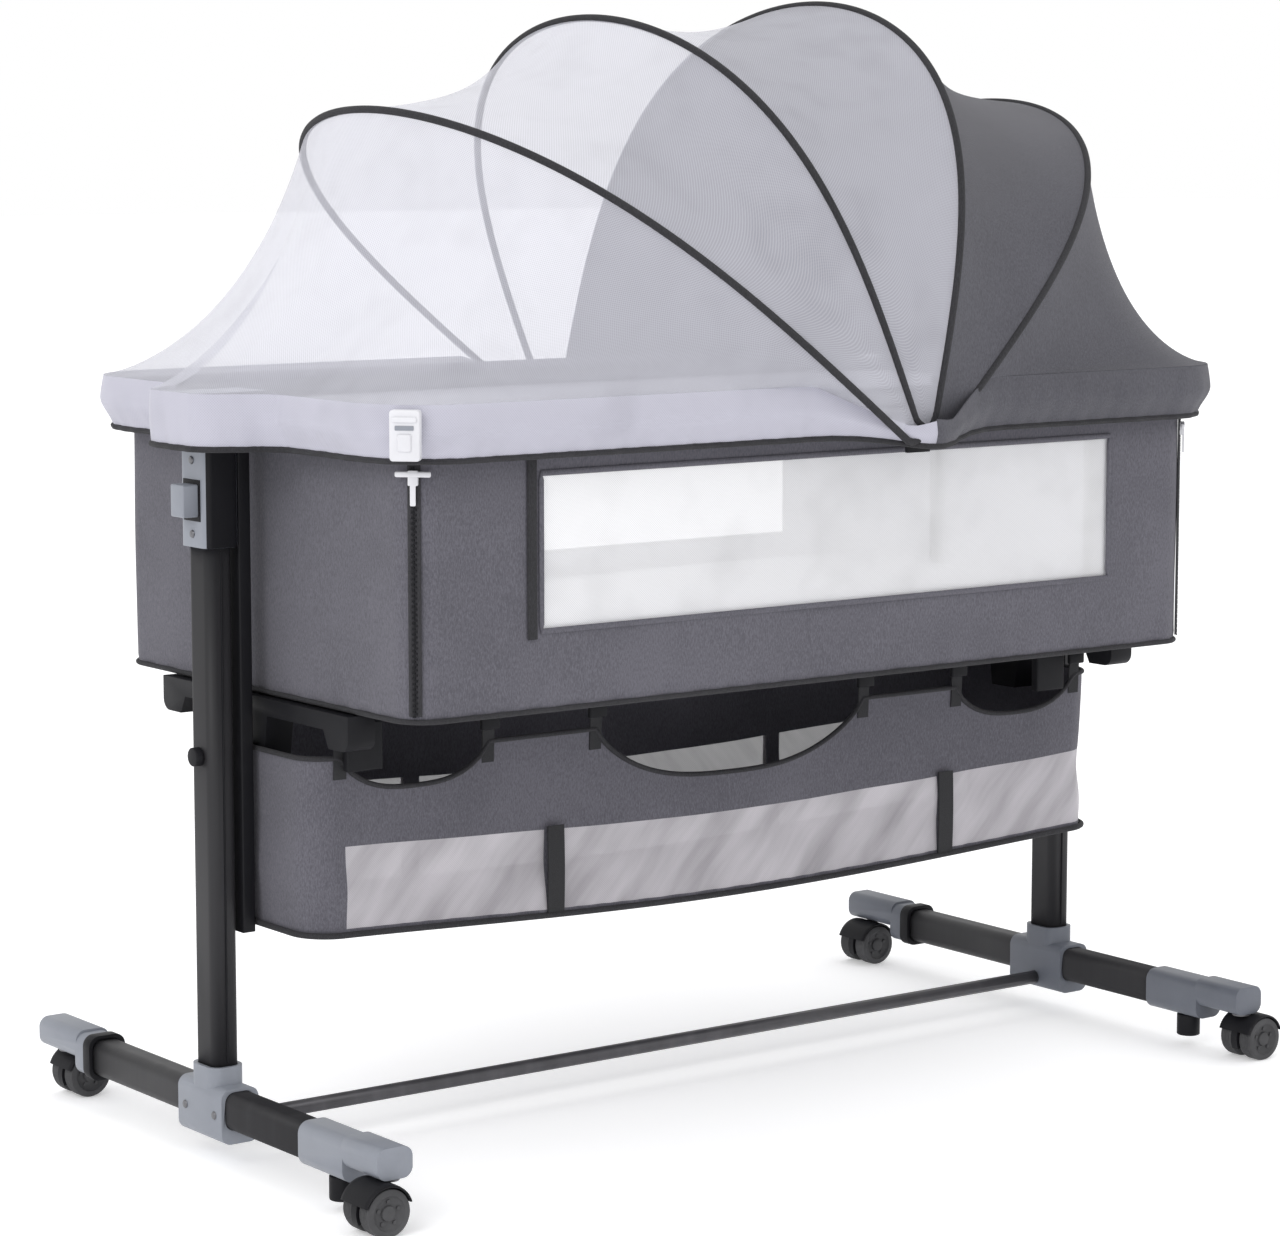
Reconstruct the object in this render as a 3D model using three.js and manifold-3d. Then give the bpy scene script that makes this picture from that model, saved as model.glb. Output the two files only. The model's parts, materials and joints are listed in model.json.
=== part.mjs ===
// Bassinet on stand: a fabric cot with a fan canopy, carried between two height-adjustable posts on casters.
// Millimetres. +X runs along the length, +Y to the back, +Z up; the origin is on the floor under the middle.

import * as THREE from 'three';
import { mergeVertices } from 'three/addons/utils/BufferGeometryUtils.js';
import Module from 'manifold-3d';

const wasm = await Module();
wasm.setup();

const GAP = 0.35; // clearance between pieces that touch

// Feet and posts
const POST_X = 472;
const POST_SIZE = [25, 34];
const POST_CORNER = 8;
const TUBE_WALL = 1.5;
const POST_FOOT = 65; // bottom of the post's socket in the hub
const OUTER_POST_TOP = 519.5;
const STOP_Z = 345;
const STOP_RADIUS = 8;
const FOOT_RAIL_SIZE = [28, 32];
const FOOT_RAIL_CORNER = 9;
const FOOT_RAIL_Z = 49;
const FOOT_RAIL_WALL = 2;
const HUB_SIZE = [36, 72];
const HUB_Z = [21, 68];
const HUB_NECK_Z = [50, 83];
const HUB_NECK_WALL = 4;
const FRONT_CAP = [-274, -155]; // y of its tip and of the edge towards the hub
const BACK_CAP = [289, 205];
const CAP_SIZE = [33, 37];
const CAP_CORNER = 10;
const CAP_STEP_Y = 220; // the cap is thinner beyond this, over the caster
const CAP_TIP_Z = [43.5, 69.5];
const CAP_BORE = 14;
const COLLAR_LENGTH = 12;
const COLLAR_WALL = 1.5;
const PAD_Y = -196;
const PAD_BOTTOM = 10;
const PAD_RADIUS = 11;
const CROSSBAR_Z = 32;
const CROSSBAR_RADIUS = 6.5;

// Casters
const CASTER_Y = 265;
const WHEEL_RADIUS = 20;
const WHEEL_WIDTH = 15;
const WEB_THICKNESS = 8;
const CASTER_TRAIL = 12;
const AXLE_RADIUS = 3;
const STEM_RADIUS = 4;
const STEM_TOP = 58;
const STEM_HOLE_TOP = 63;
const HOOD_RADIUS = [20.7, 22.6];
const HOOD_BOTTOM = 26;

// Bed frame
const BED_RAIL_Z = 632;
const BED_RAIL_TUBE = 22;
const BED_RAIL_HALF = [451, 259];
const BED_RAIL_CORNER = 66;
const BODY_HALF = [425.7, 232.7];
const BODY_CORNER = 30;
const BODY_BOTTOM = 392;
const BODY_TOP = 618;
const BODY_WALL = 4;
const BASE_TUBE = 14;
const BOARD_THICKNESS = 4;
const MATTRESS_HALF = [400, 214];
const MATTRESS_CORNER = 36;
const MATTRESS_THICKNESS = 26;
const UPRIGHT_Y = 110;
const UPRIGHT_RADIUS = 5;
const ZIP_SLIDER_Z = 590;
const INNER_POST_Z = [230, 600];
const POST_CLEARANCE = 0.7;
const BRACKET_BOTTOM = 520;
const BRACKET_STEP = 606;
const BRACKET_TOP = 648;
const BRACKET_WALL = 4;
const BRACKET_CORNER = 7;
const HEAD_HALF = [38.5, 24];
const HEAD_INBOARD = 5.5;
const BUTTON_HALF_WIDTH = 10.5;
const BUTTON_Z = [545.5, 572.5];
const BUTTON_FACE = 31; // from the post's axis
const HANGER_X = 449;
const HANGER_HALF = [6, 17];
const HANGER_BOTTOM = 194;
const SUPPORT_X = 421;
const SUPPORT_WIDTH = 26;
const SUPPORT_HALF_LENGTH = 150;
const SUPPORT_BEAM_Z = 377; // underside of the bar between its end claws and its middle block
const SUPPORT_BOTTOM = 326;
const CLIP_Z = 626;

// Basket
const BASKET_HALF = [438, 98];
const BASKET_CORNER = 30;
const BASKET_BOTTOM = 191;
const BASKET_TOP = 349;
const BASKET_WALL = 2.5;
const SCALLOPS = [[-335, 74, 319], [0, 150, 297], [335, 74, 319]]; // centre x, half-width, lowest z

// Canopy
const PIVOT_X = 71.6;
const PIVOT_Z = 602;
const HOOP_DROP = 24.5; // how far under the pivot the hoops' straight parts would meet
const HOOP_TUBE = 3;
const HOOP_EYE = 7.5;
const PIVOT_PIN = 3;
const FIRST_EYE_Y = 283.4;
const HOOP_STACK = 5.4; // spacing of the eyes along the pin
const HOOPS = [
  { lean: -52.4, radius: 492.6 },
  { lean: -23.1, radius: 413 },
  { lean: 12.9, radius: 406 },
  { lean: 45.2, radius: 439 },
];
const SHEET = 2;
const SKIRT_TOP = 650;
const SKIRT_HEM = 604;

const COLOURS = {
  tube: [0x48464c, 0.45, 0.6],
  greyPlastic: [0x9aa2ae, 0.5, 0],
  darkPlastic: [0x1d1d20, 0.5, 0],
  whitePlastic: [0xf2f2f4, 0.4, 0],
  fabric: [0x66656f, 0.95, 0],
  mesh: [0xe8e8ee, 0.9, 0],
  mattress: [0xdcdce2, 0.95, 0],
  board: [0x8a8078, 0.8, 0],
  steel: [0x55555a, 0.35, 0.9],
};

const bassinet = new THREE.Group();
bassinet.name = 'bassinet';

function add(name, geometry, look) {
  const [color, roughness, metalness] = COLOURS[look];
  const mesh = new THREE.Mesh(geometry, new THREE.MeshStandardMaterial({ color, roughness, metalness }));
  mesh.name = name;
  bassinet.add(mesh);
  return mesh;
}

// Solids: conversions, booleans and the basic forms

function toSolid(geometry) {
  const bare = geometry.clone();
  bare.deleteAttribute('normal');
  bare.deleteAttribute('uv');
  const merged = mergeVertices(bare, 1e-4);
  const vertProperties = Float32Array.from(merged.attributes.position.array);
  const triVerts = Uint32Array.from(merged.index.array);
  return new wasm.Manifold(new wasm.Mesh({ numProp: 3, vertProperties, triVerts }));
}

function toGeometry(solid) {
  const mesh = solid.getMesh();
  const geometry = new THREE.BufferGeometry();
  geometry.setAttribute('position', new THREE.BufferAttribute(Float32Array.from(mesh.vertProperties), 3));
  geometry.setIndex(new THREE.BufferAttribute(Uint32Array.from(mesh.triVerts), 1));
  return geometry;
}

function join(...geometries) {
  const solids = geometries.map(toSolid);
  return toGeometry(solids.reduce((all, next) => all.add(next)));
}

function cut(geometry, ...tools) {
  const solids = tools.map(toSolid);
  return toGeometry(solids.reduce((all, next) => all.subtract(next), toSolid(geometry)));
}

function roundedRect(halfX, halfY, corner) {
  const shape = new THREE.Shape();
  shape.moveTo(-halfX + corner, -halfY);
  shape.lineTo(halfX - corner, -halfY);
  shape.absarc(halfX - corner, -halfY + corner, corner, -Math.PI / 2, 0);
  shape.lineTo(halfX, halfY - corner);
  shape.absarc(halfX - corner, halfY - corner, corner, 0, Math.PI / 2);
  shape.lineTo(-halfX + corner, halfY);
  shape.absarc(-halfX + corner, halfY - corner, corner, Math.PI / 2, Math.PI);
  shape.lineTo(-halfX, -halfY + corner);
  shape.absarc(-halfX + corner, -halfY + corner, corner, Math.PI, Math.PI * 1.5);
  return shape;
}

function prism(shape, bottom, top, curveSegments = 4) {
  const options = { depth: top - bottom, bevelEnabled: false, curveSegments };
  const geometry = new THREE.ExtrudeGeometry(shape, options);
  return geometry.translate(0, 0, bottom);
}

// A prism whose section lies in the XZ plane and which runs along Y
function prismAlongY(shape, start, end, curveSegments = 4) {
  return prism(shape, -end, -start, curveSegments).rotateX(Math.PI / 2);
}

function block(low, high) {
  const size = high.map((value, axis) => value - low[axis]);
  const centre = high.map((value, axis) => (value + low[axis]) / 2);
  return new THREE.BoxGeometry(...size).translate(...centre);
}

function rodAlongX(radius, start, end, sides = 12) {
  const geometry = new THREE.CylinderGeometry(radius, radius, end - start, sides);
  return geometry.rotateZ(Math.PI / 2).translate((start + end) / 2, 0, 0);
}

function rodAlongY(radius, start, end, sides = 14) {
  return new THREE.CylinderGeometry(radius, radius, end - start, sides).translate(0, (start + end) / 2, 0);
}

function rodAlongZ(radius, bottom, top, sides = 14) {
  const geometry = new THREE.CylinderGeometry(radius, radius, top - bottom, sides);
  return geometry.rotateX(Math.PI / 2).translate(0, 0, (bottom + top) / 2);
}

// A rounded-rectangular ring of tube, lying flat, with its corners eased by a bevel
function tubeRing(half, corner, tube, centreZ, curveSegments) {
  const bevel = tube * 0.3;
  const shape = roundedRect(half[0] - bevel, half[1] - bevel, corner - bevel);
  const inner = roundedRect(half[0] - tube + bevel, half[1] - tube + bevel, corner - tube + bevel);
  shape.holes.push(inner);
  const options = {
    depth: tube - 2 * bevel,
    bevelThickness: bevel,
    bevelSize: bevel,
    bevelSegments: 1,
    curveSegments,
  };
  return new THREE.ExtrudeGeometry(shape, options).translate(0, 0, centreZ - tube / 2 + bevel);
}

function tubeSection(size, corner, shrink) {
  return roundedRect(size[0] / 2 - shrink, size[1] / 2 - shrink, corner - shrink);
}

// Stand

// A solid section across the foot, from one y to another in either order
function footSection(halfX, halfZ, corner, from, to) {
  return prismAlongY(roundedRect(halfX, halfZ, corner), Math.min(from, to), Math.max(from, to));
}

function footRailHole(from, to) {
  const [halfX, halfZ] = FOOT_RAIL_SIZE.map((size) => size / 2 + GAP);
  return footSection(halfX, halfZ, FOOT_RAIL_CORNER, from, to).translate(0, 0, FOOT_RAIL_Z);
}

function addFootRail(side, x) {
  const ends = [FRONT_CAP[1] - CAP_BORE + GAP, BACK_CAP[1] + CAP_BORE - GAP];
  const [halfX, halfZ] = FOOT_RAIL_SIZE.map((size) => size / 2);
  const outside = footSection(halfX, halfZ, FOOT_RAIL_CORNER, ...ends);
  const wall = FOOT_RAIL_WALL;
  const bore = footSection(halfX - wall, halfZ - wall, FOOT_RAIL_CORNER - wall, ends[0] - 5, ends[1] + 5);
  add(`${side}_foot_rail`, cut(outside, bore).translate(x, 0, FOOT_RAIL_Z), 'tube');
}

function addFootHub(side, x) {
  const halfLength = HUB_SIZE[1] / 2;
  const height = HUB_Z[1] - HUB_Z[0];
  const body = footSection(HUB_SIZE[0] / 2, height / 2, 9, -halfLength, halfLength);
  body.translate(0, 0, HUB_Z[0] + height / 2);
  const neck = prism(tubeSection(POST_SIZE, POST_CORNER, -HUB_NECK_WALL), ...HUB_NECK_Z);
  const postSocket = prism(tubeSection(POST_SIZE, POST_CORNER, -GAP), POST_FOOT + GAP, HUB_NECK_Z[1] + 5);
  const hub = cut(join(body, neck), footRailHole(-halfLength - 5, halfLength + 5), postSocket);
  add(`${side}_foot_hub`, hub.translate(x, 0, 0), 'greyPlastic');
}

// The cap is bored for the foot rail and steps up to a thinner tip, which holds the caster's stem
function addFootCap(name, x, [tip, edge]) {
  const sy = Math.sign(tip);
  const step = sy * CAP_STEP_Y;
  const thick = footSection(CAP_SIZE[0] / 2, CAP_SIZE[1] / 2, CAP_CORNER, edge, step + sy * 2);
  thick.translate(0, 0, FOOT_RAIL_Z);
  const tipHeight = CAP_TIP_Z[1] - CAP_TIP_Z[0];
  const thin = footSection(CAP_SIZE[0] / 2, tipHeight / 2, 9, step, tip);
  thin.translate(0, 0, CAP_TIP_Z[0] + tipHeight / 2);
  const bore = footRailHole(edge - sy * 5, edge + sy * CAP_BORE);
  const stemHole = rodAlongZ(STEM_RADIUS + 0.4, 0, STEM_HOLE_TOP).translate(0, sy * CASTER_Y, 0);
  add(name, cut(join(thick, thin), bore, stemHole).translate(x, 0, 0), 'greyPlastic');
}

function addFootTrim(side, x) {
  const [halfX, halfZ] = CAP_SIZE.map((size) => size / 2 + COLLAR_WALL);
  const collar = footSection(halfX, halfZ, CAP_CORNER, BACK_CAP[1] - COLLAR_LENGTH, BACK_CAP[1] - GAP);
  collar.translate(0, 0, FOOT_RAIL_Z);
  const hole = footRailHole(BACK_CAP[1] - COLLAR_LENGTH - 5, BACK_CAP[1] + 5);
  add(`${side}_back_collar`, cut(collar, hole).translate(x, 0, 0), 'darkPlastic');

  const pad = rodAlongZ(PAD_RADIUS, PAD_BOTTOM, FOOT_RAIL_Z - CAP_SIZE[1] / 2 - GAP, 20);
  add(`${side}_front_pad`, pad.translate(x, PAD_Y, 0), 'darkPlastic');
}

function addFoot(side, sx) {
  const x = sx * POST_X;
  addFootRail(side, x);
  addFootHub(side, x);
  addFootCap(`${side}_front_cap`, x, FRONT_CAP);
  addFootCap(`${side}_back_cap`, x, BACK_CAP);
  addFootTrim(side, x);
}

function addOuterPost(side, sx) {
  const bottom = POST_FOOT + 2 * GAP;
  const floor = 3;
  const outside = prism(tubeSection(POST_SIZE, POST_CORNER, 0), bottom, OUTER_POST_TOP);
  const inside = prism(tubeSection(POST_SIZE, POST_CORNER, TUBE_WALL), bottom + floor, OUTER_POST_TOP + 10);
  add(`${side}_outer_post`, cut(outside, inside).translate(sx * POST_X, 0, 0), 'tube');
  const postFace = POST_X + POST_SIZE[0] / 2;
  const knob = rodAlongX(STOP_RADIUS, postFace + GAP, postFace + 8, 16);
  if (sx < 0) {
    knob.rotateZ(Math.PI);
  }
  add(`${side}_post_stop`, knob.translate(0, 0, STOP_Z), 'darkPlastic');
}

function addCrossbar() {
  const end = POST_X - HUB_SIZE[0] / 2 - GAP;
  const bore = rodAlongX(CROSSBAR_RADIUS - TUBE_WALL, -end - 5, end + 5);
  const bar = cut(rodAlongX(CROSSBAR_RADIUS, -end, end), bore);
  add('crossbar', bar.translate(0, 0, CROSSBAR_Z), 'tube');
}

// Casters: the hood turns about Z on its stem, and the twin wheel turns about Y in the hood

function addCaster(name, x, y, trail) {
  const axleX = x + trail * CASTER_TRAIL;
  const halfWeb = WEB_THICKNESS / 2;
  const halfWidth = halfWeb + GAP + WHEEL_WIDTH;
  const tyres = [-1, 1].map((side) => {
    const middle = side * (halfWeb + GAP + WHEEL_WIDTH / 2);
    return rodAlongY(WHEEL_RADIUS, middle - WHEEL_WIDTH / 2, middle + WHEEL_WIDTH / 2, 24);
  });
  const axle = rodAlongY(AXLE_RADIUS, -halfWidth + 1, halfWidth - 1);
  add(`${name}_wheel`, join(...tyres, axle).translate(axleX, y, WHEEL_RADIUS), 'darkPlastic');

  const shell = rodAlongY(HOOD_RADIUS[1], -halfWidth, halfWidth, 24);
  const room = rodAlongY(HOOD_RADIUS[0], -halfWidth - 1, halfWidth + 1, 24);
  const belowHood = block([-40, -40, -40], [40, 40, HOOD_BOTTOM - WHEEL_RADIUS]);
  const hood = cut(shell, room, belowHood);
  const disc = rodAlongY(WHEEL_RADIUS + 1.5, -halfWeb, halfWeb, 24);
  const axleHole = rodAlongY(AXLE_RADIUS + 0.4, -halfWeb - 5, halfWeb + 5);
  const web = cut(disc, axleHole, block([-40, -40, -40], [40, 40, -12]));
  const stem = rodAlongZ(STEM_RADIUS, 14, STEM_TOP - WHEEL_RADIUS).translate(x - axleX, 0, 0);
  add(`${name}_fork`, join(web, hood, stem).translate(axleX, y, WHEEL_RADIUS), 'darkPlastic');
}

// Bed: end brackets on the inner posts, the rail and base rings, and the soft body

function addBracket(side, sx) {
  const x = sx * POST_X;
  const fit = TUBE_WALL + POST_CLEARANCE;
  const outside = prism(tubeSection(POST_SIZE, POST_CORNER, fit), ...INNER_POST_Z);
  const insideSection = tubeSection(POST_SIZE, POST_CORNER, fit + TUBE_WALL);
  const inside = prism(insideSection, INNER_POST_Z[0] - 5, INNER_POST_Z[1] - 2);
  add(`${side}_inner_post`, cut(outside, inside).translate(x, 0, 0), 'steel');

  const housingHalf = POST_SIZE.map((size) => size / 2 + BRACKET_WALL);
  const housing = prism(roundedRect(...housingHalf, BRACKET_CORNER), BRACKET_BOTTOM, BRACKET_STEP + 2);
  const head = prism(roundedRect(...HEAD_HALF, BRACKET_CORNER), BRACKET_STEP, BRACKET_TOP);
  head.translate(-sx * HEAD_INBOARD, 0, 0);
  const boreSection = tubeSection(POST_SIZE, POST_CORNER, fit - GAP);
  const bore = prism(boreSection, BRACKET_BOTTOM - 5, INNER_POST_Z[1] + GAP);
  const pocketHalf = BUTTON_HALF_WIDTH + 0.5;
  const pocket = block([-5, -pocketHalf, BUTTON_Z[0] - 0.5], [60, pocketHalf, BUTTON_Z[1] + 0.5]);
  const railRoom = roundedRect(BED_RAIL_TUBE / 2 + GAP, BED_RAIL_TUBE / 2 + GAP, 4);
  const railX = sx * (BED_RAIL_HALF[0] - BED_RAIL_TUBE / 2 - POST_X);
  const railHole = prismAlongY(railRoom, -60, 60).translate(railX, 0, BED_RAIL_Z);
  const bracket = cut(join(housing, head), bore, mirrored(pocket, sx), railHole);
  add(`${side}_bracket`, bracket.translate(x, 0, 0), 'greyPlastic');

  const buttonBack = POST_SIZE[0] / 2 + 2.3;
  const button = block(
    [buttonBack, -BUTTON_HALF_WIDTH, BUTTON_Z[0]],
    [BUTTON_FACE, BUTTON_HALF_WIDTH, BUTTON_Z[1]],
  );
  add(`${side}_height_button`, mirrored(button, sx).translate(x, 0, 0), 'greyPlastic');
}

// Mirrors a solid for the left side; its triangles are wound the other way again, so that it stays outward
function mirrored(geometry, sx) {
  if (sx > 0) {
    return geometry;
  }
  geometry.scale(-1, 1, 1);
  const index = geometry.index.array;
  for (let i = 0; i < index.length; i += 3) {
    const first = index[i];
    index[i] = index[i + 1];
    index[i + 1] = first;
  }
  return geometry;
}

function addHanger(side, sx) {
  const [halfX, halfY] = HANGER_HALF;
  const plate = block([-halfX, -halfY, HANGER_BOTTOM], [halfX, halfY, BRACKET_STEP - GAP]);
  add(`${side}_basket_hanger`, plate.translate(sx * HANGER_X, 0, 0), 'darkPlastic');
}

// A bar under the end of the bed, from its front edge to its back one, deepest over the middle
function addUnderSupport(side, sx) {
  const top = BODY_BOTTOM - GAP;
  const shoulder = 372;
  const half = SUPPORT_HALF_LENGTH;
  const bar = new THREE.Shape();
  bar.moveTo(-half, top);
  bar.lineTo(-half, shoulder);
  bar.absarc(-half + 10, shoulder, 10, Math.PI, Math.PI * 1.5);
  bar.lineTo(-half + 30, shoulder - 10);
  bar.lineTo(-half + 38, SUPPORT_BEAM_Z);
  bar.lineTo(-24, SUPPORT_BEAM_Z);
  bar.lineTo(-16, SUPPORT_BOTTOM);
  bar.lineTo(16, SUPPORT_BOTTOM);
  bar.lineTo(24, SUPPORT_BEAM_Z);
  bar.lineTo(half - 38, SUPPORT_BEAM_Z);
  bar.lineTo(half - 30, shoulder - 10);
  bar.absarc(half - 10, shoulder, 10, -Math.PI * 0.5, 0);
  bar.lineTo(half, top);
  const options = { depth: SUPPORT_WIDTH, bevelEnabled: false, curveSegments: 4 };
  const support = new THREE.ExtrudeGeometry(bar, options);
  support.rotateX(Math.PI / 2).rotateZ(Math.PI / 2).translate(sx * SUPPORT_X - SUPPORT_WIDTH / 2, 0, 0);
  add(`${side}_under_support`, support, 'darkPlastic');
}

function addBedFrame() {
  add('bed_rail', tubeRing(BED_RAIL_HALF, BED_RAIL_CORNER, BED_RAIL_TUBE, BED_RAIL_Z, 5), 'steel');
  const clear = BODY_WALL + 2;
  const baseHalf = BODY_HALF.map((half) => half - clear);
  const baseZ = BODY_BOTTOM + BODY_WALL + GAP + BASE_TUBE / 2;
  add('base_frame', tubeRing(baseHalf, BODY_CORNER - clear, BASE_TUBE, baseZ, 4), 'steel');

  const boardBottom = baseZ + BASE_TUBE / 2 + GAP;
  const boardTop = boardBottom + BOARD_THICKNESS;
  const board = prism(roundedRect(baseHalf[0], baseHalf[1], 34), boardBottom, boardTop);
  add('base_board', board, 'board');
  for (const [side, sx] of [['left', -1], ['right', 1]]) {
    for (const [end, sy] of [['front', -1], ['back', 1]]) {
      const x = sx * (baseHalf[0] - UPRIGHT_RADIUS - 1);
      const upright = rodAlongZ(UPRIGHT_RADIUS, boardTop + GAP, BED_RAIL_Z - BED_RAIL_TUBE / 2 - GAP, 10);
      add(`${side}_${end}_upright`, upright.translate(x, sy * UPRIGHT_Y, 0), 'steel');
    }
  }
  const mattressBottom = boardTop + GAP;
  const mattressShape = roundedRect(...MATTRESS_HALF, MATTRESS_CORNER);
  add('mattress', prism(mattressShape, mattressBottom, mattressBottom + MATTRESS_THICKNESS), 'mattress');
}

function addBody() {
  const outside = prism(roundedRect(...BODY_HALF, BODY_CORNER), BODY_BOTTOM, BODY_TOP);
  const innerHalf = BODY_HALF.map((half) => half - BODY_WALL);
  const insideShape = roundedRect(...innerHalf, BODY_CORNER - BODY_WALL);
  const inside = prism(insideShape, BODY_BOTTOM + BODY_WALL, BODY_TOP + 10);
  const sideX = BODY_HALF[0] - BODY_CORNER;
  const panelBottom = BODY_BOTTOM + 2 * BODY_WALL;
  const frontY = -BODY_HALF[1];
  const panelRoom = block([-sideX, frontY - 1, panelBottom], [sideX, frontY + BODY_WALL + 2, BODY_TOP + 10]);
  add('fabric_body', cut(outside, inside, panelRoom), 'fabric');
  const panel = block(
    [-sideX + GAP, frontY, panelBottom + GAP],
    [sideX - GAP, frontY + BODY_WALL, BODY_TOP],
  );
  add('front_drop_panel', panel, 'fabric');
}

// A corner of the body, at 45 degrees: where the zips of the drop-down side run
function cornerSpot(half, corner, outward, sx) {
  const reach = corner * Math.SQRT1_2 + outward * Math.SQRT1_2;
  return [sx * (half[0] - corner + reach), -(half[1] - corner + reach)];
}

function addZipSlider(side, sx) {
  const slider = join(block([-4, -2.4, -6], [4, 2.4, 6]), block([-2.2, -2.4, -22], [2.2, -0.6, -4]));
  const [x, y] = cornerSpot(BODY_HALF, BODY_CORNER, 3.2, sx);
  slider.rotateZ((sx * Math.PI) / 4).translate(x, y, ZIP_SLIDER_Z);
  add(`${side}_zip_slider`, slider, 'whitePlastic');
}

function addRailClip() {
  const clip = block([-12, -5, -20], [12, 5, 20]);
  const [x, y] = cornerSpot(BED_RAIL_HALF, BED_RAIL_CORNER, 12, -1);
  clip.rotateZ(-Math.PI / 4).translate(x, y, CLIP_Z);
  add('left_rail_clip', clip, 'whitePlastic');
}

// Basket: a shallow fabric trough whose front is scalloped

function addBasket() {
  const outside = prism(roundedRect(...BASKET_HALF, BASKET_CORNER), BASKET_BOTTOM, BASKET_TOP);
  const innerHalf = BASKET_HALF.map((half) => half - BASKET_WALL);
  const floor = BASKET_BOTTOM + BASKET_WALL;
  const inside = prism(roundedRect(...innerHalf, BASKET_CORNER - BASKET_WALL), floor, BASKET_TOP + 10);
  const dips = SCALLOPS.map(([x, halfWidth, low]) => {
    const dip = new THREE.Shape();
    dip.moveTo(x - halfWidth, BASKET_TOP + 5);
    dip.lineTo(x - halfWidth, BASKET_TOP - 12);
    dip.quadraticCurveTo(x - halfWidth, low, x - halfWidth * 0.55, low);
    dip.lineTo(x + halfWidth * 0.55, low);
    dip.quadraticCurveTo(x + halfWidth, low, x + halfWidth, BASKET_TOP - 12);
    dip.lineTo(x + halfWidth, BASKET_TOP + 5);
    return prismAlongY(dip, -BASKET_HALF[1] - 20, 0, 3);
  });
  add('basket', cut(outside, inside, ...dips), 'fabric');
}

// Canopy: four hoops turn about one pin on each side of the rail

class HoopCurve extends THREE.Curve {
  constructor({ lean, radius }, halfWidth) {
    super();
    this.arcLengthDivisions = 400;
    this.lean = THREE.MathUtils.degToRad(lean);
    this.radius = radius;
    this.halfWidth = halfWidth;
    const start = 5 + HOOP_DROP * Math.cos(this.lean);
    this.startAngle = Math.asin((start / radius) ** (3.75 / 2));
  }

  getPoint(u, target = new THREE.Vector3()) {
    const eased = u - Math.sin(2 * Math.PI * u) / (2 * Math.PI);
    const angle = this.startAngle + (Math.PI - 2 * this.startAngle) * eased;
    const reach = this.radius * Math.sin(angle) ** (2 / 3.75) - HOOP_DROP * Math.cos(this.lean);
    const cosine = Math.cos(angle);
    const y = -this.halfWidth * Math.sign(cosine) * Math.abs(cosine) ** (2 / 1.98);
    const offset = HOOP_DROP * Math.sin(this.lean) * THREE.MathUtils.smoothstep(reach, 8, 60);
    return target.set(
      PIVOT_X + reach * Math.sin(this.lean) + offset * Math.cos(this.lean),
      y,
      PIVOT_Z + reach * Math.cos(this.lean) - offset * Math.sin(this.lean),
    );
  }
}

function hoopEyeY(number) {
  return FIRST_EYE_Y - HOOP_STACK * number;
}

const hoopCurves = HOOPS.map((hoop, number) => new HoopCurve(hoop, hoopEyeY(number)));

function addHoop(number) {
  const wire = new THREE.Shape();
  wire.absarc(0, 0, HOOP_TUBE - 0.5, 0, Math.PI * 2);
  const path = hoopCurves[number];
  const options = { steps: 36, extrudePath: path, curveSegments: 4, bevelEnabled: false };
  let hoop = new THREE.ExtrudeGeometry(wire, options);
  for (const sy of [-1, 1]) {
    const y = sy * hoopEyeY(number);
    const eye = rodAlongY(HOOP_EYE, y - 2.4, y + 2.4, 14).translate(PIVOT_X, 0, PIVOT_Z);
    const hole = rodAlongY(PIVOT_PIN + 0.3, y - 6, y + 6, 14).translate(PIVOT_X, 0, PIVOT_Z);
    hoop = cut(join(hoop, eye), hole);
  }
  add(`canopy_hoop_${number + 1}`, hoop, 'darkPlastic');
}

function addCanopyPivot(name, sy) {
  const face = BED_RAIL_HALF[1] + GAP;
  const plate = block([-13, face, -14], [13, face + 3.4, 38]);
  const pin = rodAlongY(PIVOT_PIN, face + 1, 288);
  const head = rodAlongY(6, 286.4, 289);
  const pivot = join(plate, pin, head);
  if (sy < 0) {
    pivot.rotateZ(Math.PI);
  }
  add(name, pivot.translate(PIVOT_X, 0, PIVOT_Z), 'darkPlastic');
}

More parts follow.
